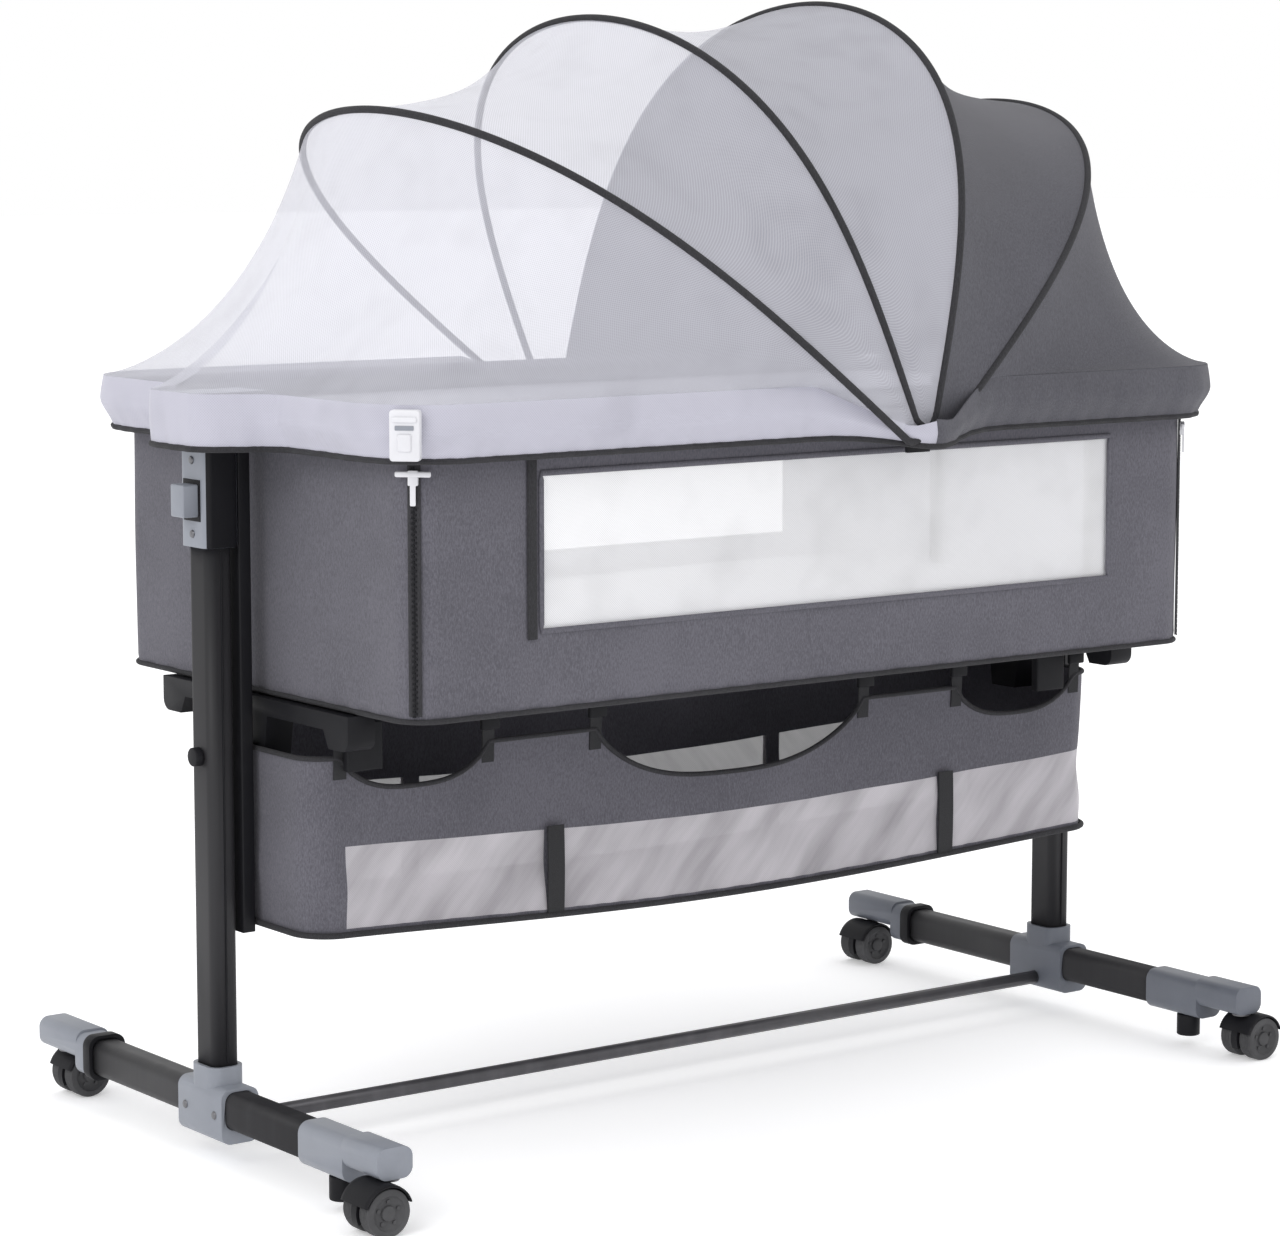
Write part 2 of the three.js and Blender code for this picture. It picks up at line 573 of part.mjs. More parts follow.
// A thin solid around a curved sheet, given as a point for each (u, v) between 0 and 1
function sheetSolid(pointAt, columns, rows) {
  const positions = [];
  const step = 1e-3;
  for (const side of [-0.5, 0.5]) {
    for (let j = 0; j <= rows; j += 1) {
      for (let i = 0; i <= columns; i += 1) {
        const u = i / columns;
        const v = j / rows;
        const along = pointAt(Math.min(u + step, 1), v).sub(pointAt(Math.max(u - step, 0), v));
        const across = pointAt(u, Math.min(v + step, 1)).sub(pointAt(u, Math.max(v - step, 0)));
        const normal = along.cross(across).normalize();
        const point = pointAt(u, v).addScaledVector(normal, side * SHEET);
        positions.push(point.x, point.y, point.z);
      }
    }
  }
  const layer = (columns + 1) * (rows + 1);
  const index = [];
  const quad = (a, b, c, d) => index.push(a, b, c, a, c, d);
  const at = (i, j, top) => top * layer + j * (columns + 1) + i;
  for (let j = 0; j < rows; j += 1) {
    for (let i = 0; i < columns; i += 1) {
      quad(at(i, j, 1), at(i + 1, j, 1), at(i + 1, j + 1, 1), at(i, j + 1, 1));
      quad(at(i, j, 0), at(i, j + 1, 0), at(i + 1, j + 1, 0), at(i + 1, j, 0));
    }
  }
  for (let i = 0; i < columns; i += 1) {
    quad(at(i, 0, 0), at(i + 1, 0, 0), at(i + 1, 0, 1), at(i, 0, 1));
    quad(at(i, rows, 1), at(i + 1, rows, 1), at(i + 1, rows, 0), at(i, rows, 0));
  }
  for (let j = 0; j < rows; j += 1) {
    quad(at(0, j, 1), at(0, j + 1, 1), at(0, j + 1, 0), at(0, j, 0));
    quad(at(columns, j, 0), at(columns, j + 1, 0), at(columns, j + 1, 1), at(columns, j, 1));
  }
  const geometry = new THREE.BufferGeometry();
  geometry.setAttribute('position', new THREE.Float32BufferAttribute(positions, 3));
  geometry.setIndex(index);
  return geometry;
}

// Where the cover leaves the hoops near the pivot, as a share of the hoop's length
const COVER_START = 0.06;

function alongCover(u) {
  return COVER_START + (1 - 2 * COVER_START) * u;
}

function addPanelBetween(name, first, second, look) {
  const pointAt = (u, v) => {
    const a = hoopCurves[first].getPointAt(alongCover(u));
    const b = hoopCurves[second].getPointAt(alongCover(u));
    const margin = 5 / a.distanceTo(b);
    const share = margin + (1 - 2 * margin) * v;
    const point = a.lerp(b, share);
    const sag = 1 - 0.05 * 4 * share * (1 - share);
    const x = PIVOT_X + (point.x - PIVOT_X) * sag;
    const y = point.y * (0.98 + 0.02 * sag);
    const z = PIVOT_Z + (point.z - PIVOT_Z) * sag;
    return point.set(x, y, z);
  };
  add(name, sheetSolid(pointAt, 24, 3), look);
}

// The hem's outline on one end of the bed, from the front side round the end to the back side
function hemPath(sx, outset) {
  const [halfX, halfY] = BED_RAIL_HALF.map((half) => half + outset);
  const corner = BED_RAIL_CORNER + outset;
  const path = new THREE.Path();
  const startX = sx * PIVOT_X + 105;
  path.moveTo(startX, -halfY);
  path.lineTo(halfX - corner, -halfY);
  path.absarc(halfX - corner, -halfY + corner, corner, -Math.PI / 2, 0);
  path.lineTo(halfX, halfY - corner);
  path.absarc(halfX - corner, halfY - corner, corner, 0, Math.PI / 2);
  path.lineTo(startX, halfY);
  return path;
}

// The end covers run from the last hoop down to the rail and over it as a skirt, bulging round the bracket
function addEndCover(name, sx, number, look) {
  const path = hemPath(sx, 4);
  const lastHoop = hoopCurves[number];
  const pointAt = (u, v) => {
    const a = lastHoop.getPointAt(alongCover(u));
    const hem = path.getPointAt(u);
    const bulge = 54 * (1 - THREE.MathUtils.smoothstep(Math.abs(hem.y), 34, 96)) * (hem.x > 400 ? 1 : 0);
    const bend = 5 / 7;
    const down = Math.min(v / bend, 1);
    const low = new THREE.Vector3(sx * (hem.x + bulge * down ** 3), hem.y, SKIRT_TOP);
    const margin = 10 / a.distanceTo(low);
    const point = a.lerp(low, margin + (1 - margin) * down);
    point.z -= 60 * 4 * down * (1 - down) * THREE.MathUtils.smoothstep(Math.sin(Math.PI * u), 0.2, 0.9);
    if (v > bend) {
      point.z -= ((SKIRT_TOP - SKIRT_HEM) * (v - bend)) / (1 - bend);
    }
    return point;
  };
  add(name, sheetSolid(pointAt, 36, 7), look);
}

// Assembly

for (const [side, sx] of [['left', -1], ['right', 1]]) {
  addFoot(side, sx);
  addOuterPost(side, sx);
  addBracket(side, sx);
  addHanger(side, sx);
  addUnderSupport(side, sx);
  addZipSlider(side, sx);
  for (const [end, sy] of [['front', -1], ['back', 1]]) {
    addCaster(`${side}_${end}_caster`, sx * POST_X, sy * CASTER_Y, sy * -sx);
  }
}
addCrossbar();
addBedFrame();
addBody();
addRailClip();
addBasket();
HOOPS.forEach((hoop, number) => addHoop(number));
addCanopyPivot('front_canopy_pivot', -1);
addCanopyPivot('back_canopy_pivot', 1);
addPanelBetween('canopy_mesh_1', 0, 1, 'mesh');
addPanelBetween('canopy_mesh_2', 1, 2, 'mesh');
addPanelBetween('canopy_fabric', 2, 3, 'fabric');
addEndCover('left_net', -1, 0, 'mesh');
addEndCover('right_cover', 1, 3, 'fabric');

export default bassinet;
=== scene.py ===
"""A bassinet on a caster stand: cloth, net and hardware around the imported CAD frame, in metres."""
import json
import math

import bmesh
import bpy
import numpy as np
from mathutils import Matrix, Vector


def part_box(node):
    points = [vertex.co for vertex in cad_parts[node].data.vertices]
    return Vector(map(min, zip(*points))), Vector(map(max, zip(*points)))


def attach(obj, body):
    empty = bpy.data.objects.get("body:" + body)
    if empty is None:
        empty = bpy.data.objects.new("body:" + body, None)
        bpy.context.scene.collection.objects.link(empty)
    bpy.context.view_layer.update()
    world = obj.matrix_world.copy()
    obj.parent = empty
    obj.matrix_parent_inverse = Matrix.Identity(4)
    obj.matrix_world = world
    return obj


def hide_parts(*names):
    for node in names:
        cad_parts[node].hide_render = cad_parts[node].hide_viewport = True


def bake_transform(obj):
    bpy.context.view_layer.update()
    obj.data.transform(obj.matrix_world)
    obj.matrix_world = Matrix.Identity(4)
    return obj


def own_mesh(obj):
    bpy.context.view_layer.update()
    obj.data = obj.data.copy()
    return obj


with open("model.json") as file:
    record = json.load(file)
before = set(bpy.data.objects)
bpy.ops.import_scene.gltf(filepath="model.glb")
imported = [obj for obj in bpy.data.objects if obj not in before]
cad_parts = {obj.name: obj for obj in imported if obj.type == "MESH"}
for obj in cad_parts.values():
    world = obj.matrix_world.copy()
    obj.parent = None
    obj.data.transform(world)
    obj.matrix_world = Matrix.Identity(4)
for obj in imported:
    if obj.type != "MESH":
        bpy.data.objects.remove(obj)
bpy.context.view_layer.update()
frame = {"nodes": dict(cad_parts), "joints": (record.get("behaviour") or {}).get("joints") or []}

POST_FACE = 0.4887             # the outer face of the brackets' plates
HEAD_CUT_Z = 0.619             # above this the body's cloth is cut away round each bracket's head
HEAD_HALF = 0.0248             # half the gap in the cloth for a bracket's head
UNDER_X = 0.4205               # where the webbing under the bed's ends hangs
SIDES = (("left", -1), ("right", 1))
ENDS = (("front", -1), ("back", 1))


# ---------------------------------------------------------------- materials

class Paint:
    """A material, with short calls for the nodes that make it."""

    def __init__(self, name):
        self.material = bpy.data.materials.new(name)
        self.material.use_nodes = True
        self.nodes = self.material.node_tree.nodes
        self.links = self.material.node_tree.links
        self.shader = self.nodes["Principled BSDF"]

    def feed(self, socket, value):
        if isinstance(value, bpy.types.NodeSocket):
            self.links.new(value, socket)
        else:
            socket.default_value = value

    def set(self, **inputs):
        for key, value in inputs.items():
            self.feed(self.shader.inputs[key.replace("_", " ")], value)

    def node(self, kind, **inputs):
        node = self.nodes.new(kind)
        for key, value in inputs.items():
            self.feed(node.inputs[key], value)
        return node

    def place(self):
        return self.nodes.new("ShaderNodeTexCoord").outputs["Object"]

    def uv(self):
        return self.nodes.new("ShaderNodeUVMap").outputs["UV"]

    def split(self, vector):
        return self.node("ShaderNodeSeparateXYZ", Vector=vector).outputs

    def turned(self, vector, angle):
        return self.node("ShaderNodeMapping", Vector=vector, Rotation=(0, 0, angle)).outputs["Vector"]

    def ramp(self, source, *stops):
        """A colour ramp on a value; stops are (place, colour)."""
        node = self.node("ShaderNodeValToRGB", Fac=source)
        elements = node.color_ramp.elements
        while len(elements) < len(stops):
            elements.new(0.5)
        for element, (place, colour) in zip(elements, stops):
            element.position = place
            element.color = (*colour, 1)
        return node.outputs["Color"]

    def noise(self, vector, scale, detail=3.0, roughness=0.6, stretch=None):
        if stretch is not None:
            vector = self.node("ShaderNodeMapping", Vector=vector, Scale=stretch).outputs["Vector"]
        node = self.node("ShaderNodeTexNoise", Vector=vector, Scale=scale, Detail=detail, Roughness=roughness)
        return node.outputs["Fac"]

    def math(self, operation, *values, clamp=False):
        node = self.nodes.new("ShaderNodeMath")
        node.operation = operation
        node.use_clamp = clamp
        for socket, value in zip(node.inputs, values):
            self.feed(socket, value)
        return node.outputs[0]

    def wave(self, value, turns):
        return self.math("SINE", self.math("MULTIPLY", value, turns))

    def weave(self, uv, pitch):
        """The height of a plain weave whose threads are pitch metres apart, from UVs in metres."""
        parts = self.split(uv)
        turns = 2 * math.pi / pitch
        return self.math("MULTIPLY", self.wave(parts["X"], turns), self.wave(parts["Y"], turns))

    def bump(self, height, strength, distance):
        node = self.node("ShaderNodeBump", Height=height, Strength=strength, Distance=distance)
        self.set(Normal=node.outputs["Normal"])


def scaled(colour, factor):
    return tuple(c * factor for c in colour)


def fabric_material(name, dark, light, pitch=0.0012, fleck=900.0, sheen=0.08):
    """Heathered woven cloth: flecks of two yarns, a slower cast, a fine weave and a soft sheen."""
    paint = Paint(name)
    place = paint.place()
    flecks = paint.noise(place, fleck, 2.0, 0.7, (1.0, 1.0, 0.35))
    cast = paint.noise(place, 9.0)
    mixed = paint.math("ADD", paint.math("MULTIPLY", flecks, 0.72), paint.math("MULTIPLY", cast, 0.28))
    middle = tuple((a + b) / 2 for a, b in zip(dark, light))
    paint.set(Base_Color=paint.ramp(mixed, (0.38, dark), (0.5, middle), (0.62, light)),
              Roughness=paint.math("MULTIPLY_ADD", flecks, 0.15, 0.8), Sheen_Weight=sheen,
              Sheen_Roughness=0.5)
    height = paint.math("ADD", paint.weave(paint.uv(), pitch), paint.math("MULTIPLY", flecks, 1.5))
    paint.bump(height, 0.35, 0.0004)
    return paint.material


def net_material(name, colour, cover, pitch=0.0016, crease_shading=0.0):
    """Fine knitted net: threads cross at 45 degrees, and the holes let most of the light through. Where
    asked, lighter and darker diagonal streaks are painted on it: painted highlight and painted shade standing
    for creases.
    """
    paint = Paint(name)
    uv = paint.uv()
    threads = paint.split(paint.turned(uv, math.pi / 4))
    hole = paint.math("MULTIPLY", *(paint.math("ABSOLUTE", paint.wave(threads[axis], math.pi / pitch))
                                    for axis in ("X", "Y")))
    drift = paint.noise(paint.place(), 14.0, 2.0)
    alpha = paint.math("MULTIPLY_ADD", hole, -0.20, cover + 0.06)
    alpha = paint.math("ADD", alpha, paint.math("MULTIPLY", drift, 0.05), clamp=True)
    mottle_and_crease_shade = drift
    # painted shade and painted highlight of creases: diagonal streaks darker and lighter than the net
    if crease_shading:
        mottle_and_crease_shade = paint.noise(paint.turned(uv, 0.75), 34.0, 3.0, 0.55, (1.0, 0.16, 1.0))
    # deep and light are the painted crease shade and painted highlight; with no creases asked for, deep is
    # only a faint random darker tone
    deep = scaled(colour, 0.93 - crease_shading)
    light = tuple(min(c * (1 + crease_shading), 1.0) for c in colour)
    paint.set(Base_Color=paint.ramp(mottle_and_crease_shade, (0.3, deep), (0.5, colour), (0.7, light)), Alpha=alpha,
              Roughness=0.85, Sheen_Weight=0.2)
    paint.bump(hole, 0.2, 0.0003)
    return paint.material


def plastic_material(name, colour, roughness=0.42, grain=1400.0, wear=0.06, strength=0.12, specular=0.4):
    """Moulded plastic: spark-eroded grain, slightly uneven gloss and lighter worn patches."""
    paint = Paint(name)
    place = paint.place()
    fine = paint.noise(place, grain, 2.0)
    broad = paint.noise(place, 22.0, 4.0)
    worn = tuple(min(c * (1 + wear) + wear * 0.04, 1) for c in colour)
    paint.set(Base_Color=paint.ramp(broad, (0.32, scaled(colour, 1 - wear)), (0.5, colour), (0.7, worn)),
              Roughness=paint.math("MULTIPLY_ADD", broad, 0.22, roughness - 0.11),
              Specular_IOR_Level=specular)
    paint.bump(fine, strength, 0.0003)
    return paint.material


def tube_material(name, colour, roughness=0.38, metallic=0.35):
    """Powder-coated tube: orange-peel bump, faint long streaks and a satin gloss."""
    paint = Paint(name)
    place = paint.place()
    peel = paint.noise(place, 700.0, 2.0)
    streak = paint.noise(place, 60.0, 3.0, 0.5, (1.0, 1.0, 0.06))
    shades = (0.3, scaled(colour, 0.86)), (0.55, colour), (0.75, scaled(colour, 1.22))
    paint.set(Base_Color=paint.ramp(streak, *shades),
              Roughness=paint.math("MULTIPLY_ADD", streak, 0.18, roughness - 0.08), Metallic=metallic,
              Specular_IOR_Level=0.3)
    paint.bump(peel, 0.15, 0.0002)
    return paint.material


def webbing_material(name, colour):
    """Woven strap: ribs along its length and a fine twill."""
    paint = Paint(name)
    flecks = paint.noise(paint.place(), 1200.0, 1.0)
    paint.set(Base_Color=paint.ramp(flecks, (0.35, scaled(colour, 0.7)), (0.65, colour)), Roughness=0.8)
    paint.bump(paint.weave(paint.uv(), 0.0014), 0.5, 0.0005)
    return paint.material


GREY = fabric_material("heather_grey", (0.072, 0.070, 0.086), (0.122, 0.118, 0.142))
CANOPY = fabric_material("canopy_grey", (0.055, 0.054, 0.066), (0.088, 0.087, 0.104), sheen=0.12)
LINING = fabric_material("light_lining", (0.52, 0.52, 0.57), (0.66, 0.66, 0.71), fleck=500.0)
MATTRESS = fabric_material("mattress_cover", (0.60, 0.60, 0.63), (0.76, 0.76, 0.79), 0.0022, 350.0)
PIPING = fabric_material("dark_piping", (0.012, 0.012, 0.014), (0.030, 0.029, 0.034), 0.0008, sheen=0.02)
WHITE_NET = net_material("white_net", (0.72, 0.72, 0.80), 0.50)
SKIRT_NET = net_material("skirt_net", (0.475, 0.470, 0.545), 0.92)
WINDOW_NET = net_material("window_net", (0.93, 0.93, 0.95), 0.62, pitch=0.0014)
# the basket's net gets painted crease shade and highlight as diagonal streaks
BASKET_NET = net_material("basket_net", (0.47, 0.45, 0.48), 0.84, pitch=0.0014, crease_shading=0.20)
WEBBING = webbing_material("black_webbing", (0.020, 0.020, 0.023))
GREY_WEBBING = webbing_material("grey_webbing", (0.2, 0.2, 0.22))
TUBE = tube_material("dark_tube", (0.024, 0.0235, 0.026), 0.5, 0.1)
CROSS_TUBE = tube_material("crossbar_tube", (0.085, 0.083, 0.09))
STEEL = tube_material("grey_steel", (0.16, 0.16, 0.17), 0.32, 0.7)
LIGHT_PLASTIC = plastic_material("blue_grey_plastic", (0.225, 0.24, 0.275))
# painted shade: a darker copy of the blue-grey plastic, for the right stand's hub and caps, which lie in
# shade
SHADED_PLASTIC = plastic_material("shaded_blue_grey_plastic", (0.12, 0.13, 0.155))
BLACK_PLASTIC = plastic_material("black_plastic", (0.009, 0.009, 0.011), 0.5, specular=0.15)
WHITE_PLASTIC = plastic_material("white_plastic", (0.64, 0.64, 0.67), 0.4)
TYRE = plastic_material("tyre_rubber", (0.045, 0.045, 0.048), 0.62, 900.0, 0.3, 0.3)
BOARD = plastic_material("base_board", (0.3, 0.27, 0.24), 0.8)


# ---------------------------------------------------------------- meshes

def shade(obj, angle=35.0):
    """Smooth shading, with edges sharper than the angle kept."""
    mesh = obj.data
    mesh.shade_smooth()
    edges = bmesh.new()
    edges.from_mesh(mesh)
    limit = math.radians(angle)
    for edge in edges.edges:
        edge.smooth = len(edge.link_faces) == 2 and edge.calc_face_angle(0.0) < limit
    edges.to_mesh(mesh)
    edges.free()
    return obj


def make_object(name, vertices, faces, material, body, uvs=None, angle=35.0):
    mesh = bpy.data.meshes.new(name)
    mesh.from_pydata([tuple(map(float, v)) for v in vertices], [], faces)
    layer = mesh.uv_layers.new(name="UVMap")
    if uvs is not None:
        flat = np.array([uvs[loop.vertex_index] for loop in mesh.loops], np.float32)
        layer.data.foreach_set("uv", flat.ravel())
    mesh.materials.append(material)
    mesh.validate()
    obj = bpy.data.objects.new(name, mesh)
    bpy.context.scene.collection.objects.link(obj)
    shade(obj, angle)
    if body:
        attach(obj, body)
    return obj


def grid_faces(columns, rows, closed=False, offset=0):
    """Faces of a grid of columns x rows points, row by row; closed joins the last column to the first."""
    faces = []
    last = columns if closed else columns - 1
    for j in range(rows - 1):
        for i in range(last):
            a = offset + j * columns + i
            b = offset + j * columns + (i + 1) % columns
            faces.append((a, b, b + columns, a + columns))
    return faces


def grid_uvs(points):
    """UVs in metres for a grid of points: the distance along the middle row, and down each column."""
    rows, columns = points.shape[:2]
    steps_u = np.linalg.norm(np.diff(points, axis=1), axis=2)
    steps_v = np.linalg.norm(np.diff(points, axis=0), axis=2)
    u = np.concatenate([np.zeros((rows, 1)), np.cumsum(steps_u, axis=1)], axis=1)
    v = np.concatenate([np.zeros((1, columns)), np.cumsum(steps_v, axis=0)], axis=0)
    u = u - u[:, -1:] / 2
    return np.stack([u, v], axis=2).reshape(-1, 2)


def sheet_object(name, points, material, body, thickness=0.0, flip=False):
    """A cloth sheet from rows x columns points; a thickness gives it two faces."""
    rows, columns = points.shape[:2]
    faces = grid_faces(columns, rows)
    if flip:
        faces = [face[::-1] for face in faces]
    obj = make_object(name, points.reshape(-1, 3), faces, material, body, grid_uvs(points), 60.0)
    if thickness:
        thicken(obj, thickness, 0.0).use_quality_normals = True
    return obj


def thicken(obj, thickness, offset=-1.0):
    """Gives a surface a thickness, inwards unless offset says otherwise."""
    solid = obj.modifiers.new("thickness", "SOLIDIFY")
    solid.thickness = thickness
    solid.offset = offset
    return solid


def wrap_uvs(outline, flat):
    """UVs in metres for rows of points round an outline: the distance along it, and the height."""
    steps = np.linalg.norm(np.diff(outline[:, :2], axis=0, append=outline[:1, :2]), axis=1)
    along = np.concatenate([[0], np.cumsum(steps)[:-1]])
    return np.stack([np.tile(along, len(flat) // len(outline)), flat[:, 2]], axis=1)


def sweep(name, path, radius, material, body, sides=10, closed=False, flat=1.0, up=(0, 0, 1)):
    """A tube along points; flat squeezes it along up, and closed joins its ends."""
    path = np.asarray(path, float)
    count = len(path)
    if closed:
        tangents = np.roll(path, -1, 0) - np.roll(path, 1, 0)
    else:
        tangents = np.gradient(path, axis=0)
    tangents /= np.linalg.norm(tangents, axis=1)[:, None]
    up = np.array(up, float)
    vertices, uvs = [], []
    length = 0.0
    for k in range(count):
        side = np.cross(tangents[k], up)
        if np.linalg.norm(side) < 1e-3:
            side = np.cross(tangents[k], (0.3, 1.0, 0.2))
        side /= np.linalg.norm(side)
        lift = np.cross(side, tangents[k])
        if k:
            length += float(np.linalg.norm(path[k] - path[k - 1]))
        for i in range(sides):
            angle = 2 * math.pi * i / sides
            vertices.append(path[k] + radius * (math.cos(angle) * side + flat * math.sin(angle) * lift))
            uvs.append((radius * angle, length))
    faces = grid_faces(sides, count, closed=True)
    if closed:
        first = (count - 1) * sides
        faces += [(first + i, first + (i + 1) % sides, (i + 1) % sides, i) for i in range(sides)]
    else:
        faces.append(tuple(range(sides))[::-1])
        faces.append(tuple((count - 1) * sides + i for i in range(sides)))
    return make_object(name, vertices, faces, material, body, uvs, 40.0)


def smooth_path(points, count):
    """Points evenly spaced along a polyline."""
    points = np.asarray(points, float)
    lengths = np.concatenate([[0], np.cumsum(np.linalg.norm(np.diff(points, axis=0), axis=1))])
    wanted = np.linspace(0, lengths[-1], count)
    return np.stack([np.interp(wanted, lengths, points[:, axis]) for axis in range(3)], axis=1)


def smoothstep(value, low, high):
    t = np.clip((np.asarray(value, float) - low) / (high - low), 0, 1)
    return t * t * (3 - 2 * t)


# ---------------------------------------------------------------- canopy

JOINTS = {joint["name"]: joint for joint in frame["joints"]}
PIVOT_X, _, PIVOT_Z = JOINTS["canopy_fold"]["pos_m"]
HOOP_DROP = 0.0245
HOOP_SHAPES = {1: (-52.4, 0.4926), 2: (-23.1, 0.413), 3: (12.9, 0.406), 4: (45.2, 0.439)}  # lean, radius
HOOP_POWERS = (3.75, 1.98)     # the exponents of the hoops' rounded outline: up, and across
EYE_HALF = 0.0024
CANOPY_THICK = 0.0012
PIPE_RADIUS = 0.0033


def hoop_curve(number, samples=1600):
    """A hoop's middle line from the front pivot over the top to the back one, evenly spaced."""
    lean, radius = HOOP_SHAPES[number]
    lean = math.radians(lean)
    rise, spread = HOOP_POWERS
    half_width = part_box(f"canopy_hoop_{number}")[1].y - EYE_HALF
    start = math.asin(((0.005 + HOOP_DROP * math.cos(lean)) / radius) ** (rise / 2))
    share = np.linspace(0, 1, samples)
    angle = start + (math.pi - 2 * start) * (share - np.sin(2 * np.pi * share) / (2 * np.pi))
    reach = radius * np.sin(angle) ** (2 / rise) - HOOP_DROP * math.cos(lean)
    y = -half_width * np.sign(np.cos(angle)) * np.abs(np.cos(angle)) ** (2 / spread)
    offset = HOOP_DROP * math.sin(lean) * smoothstep(reach, 0.003, 0.022)
    x = PIVOT_X + reach * math.sin(lean) + offset * math.cos(lean)
    z = PIVOT_Z + reach * math.cos(lean) - offset * math.sin(lean)
    return smooth_path(np.stack([x, y, z], axis=1), 721)


HOOP_LINES = {number: hoop_curve(number) for number in HOOP_SHAPES}


def on_hoop(number, share):
    line = HOOP_LINES[number]
    place = np.asarray(share) * (len(line) - 1)
    return np.stack([np.interp(place, np.arange(len(line)), line[:, axis]) for axis in range(3)], axis=-1)


def set_blend(obj):
    """Bakes a panel's placement into its points; the panel is left on no body."""
    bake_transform(obj)


def canopy_panel(name, first, second, material, node, sag, thickness=0.0):
    """The cloth between two hoops, drawn inwards between them, less so where the hoops close up at the
    pivots.
    """
    columns, rows = 121, 17
    share = np.linspace(0.006, 0.994, columns)
    a, b = on_hoop(first, share), on_hoop(second, share)
    v = np.linspace(0, 1, rows)[:, None, None]
    points = a * (1 - v) + b * v
    across = 4 * v[..., 0] * (1 - v[..., 0])
    height = smoothstep(np.linalg.norm(a - b, axis=1), 0.02, 0.25)
    pull = sag * across * height
    centre = np.array([PIVOT_X, 0, PIVOT_Z])
    outward = points - centre
    outward[..., 1] *= 0.35
    outward /= np.linalg.norm(outward, axis=2)[..., None] + 1e-9
    points = points - outward * pull[..., None]
    obj = sheet_object(name, points, material, None, thickness)
    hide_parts(node)
    set_blend(obj)


RAIL_LOW, RAIL_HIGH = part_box("bed_rail")
RAIL_CORNER = 0.066
SKIRT_TOP = RAIL_HIGH.z + 0.006
SKIRT_HEM = 0.604
HEM_TUCK = 0.0125               # how far the hem is drawn in under the rail
SKIRT_OUT = 0.0035
BRACKET_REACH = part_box("right_bracket")[1].x
COVER_JOIN = PIVOT_X - 0.004   # where the net half of the cover meets the cloth half
HUB_COVER = 0.013              # how far over the pins the cover still reaches
HUB_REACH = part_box("back_canopy_pivot")[1].y + 0.0016 - RAIL_HIGH.y - SKIRT_OUT


def hem_line(sx, count):
    """The cover's outline on one end, from the front pivot round the end to the back one, as (x, y)."""
    half_x, half_y = RAIL_HIGH.x + SKIRT_OUT, RAIL_HIGH.y + SKIRT_OUT
    corner = RAIL_CORNER + SKIRT_OUT
    start = sx * COVER_JOIN
    points = [(start, -half_y)]
    for cx, cy, first in ((half_x - corner, -half_y + corner, -90), (half_x - corner, half_y - corner, 0)):
        for k in range(11):
            angle = math.radians(first + 9 * k)
            points.append((cx + corner * math.cos(angle), cy + corner * math.sin(angle)))
    points.append((start, half_y))
    flat = smooth_path(np.array([(x, y, 0) for x, y in points]), 1200)
    x, y = flat[:, 0], flat[:, 1]
    over_hub = HUB_REACH * np.exp(-(((x - sx * PIVOT_X) / 0.05) ** 2))
    y = y + np.sign(y) * over_hub * (np.abs(y) > half_y - 1e-4)
    bulge = BRACKET_REACH + 0.0025 - half_x
    x = x + bulge * (1 - smoothstep(np.abs(y), 0.031, 0.085)) * (x > half_x - 0.02)
    line = smooth_path(np.stack([sx * x, y, 0 * x], axis=1), count)
    return line[:, :2]


def cover_edge(sx, number, columns):
    """An end cover's top edge on its hoop, and the crease where it meets the rail, with the hem's outline."""
    hem = hem_line(sx, columns)
    top = on_hoop(number, np.linspace(0.004, 0.996, columns))
    rise = top[:, 2] - PIVOT_Z
    crease = np.minimum(SKIRT_TOP, PIVOT_Z + HUB_COVER + 0.8 * rise)
    return top, np.stack([hem[:, 0], hem[:, 1], crease], axis=1), rise


def end_cover(name, sx, number, material, node, thickness=0.0):
    """The cloth from the last hoop down to the rail: a saddle, drawn in by its own tension."""
    columns, count = 181, 28
    top, low, rise = cover_edge(sx, number, columns)
    inset = smoothstep(rise, 0.03, 0.2)
    rows = []
    for v in np.linspace(0, 1, count):
        row = top * (1 - v) + low * v
        drawn = 4 * v * (1 - v) ** 0.9
        row[:, 2] -= 0.026 * drawn * inset
        row[:, 0] -= sx * 0.014 * drawn * inset
        row[:, 1] *= 1 - 0.04 * drawn * inset
        rows.append(row)
    points = np.array(rows)
    obj = sheet_object(name, points, material, None, thickness, flip=sx > 0)
    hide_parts(node)
    if sx > 0:
        set_blend(obj)
    else:
        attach(obj, f"hoop_{number}")
        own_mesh(obj)


def skirt_profile(share, tuck):
    """How far a skirt stands out of its crease, from 0 at the crease to 1 at the hem, where it tucks in."""
    bulge = 0.0036 * math.sin(min(share / 0.62, 1.0) * math.pi / 2)
    return bulge - tuck * float(smoothstep(share, 0.42, 1.05))


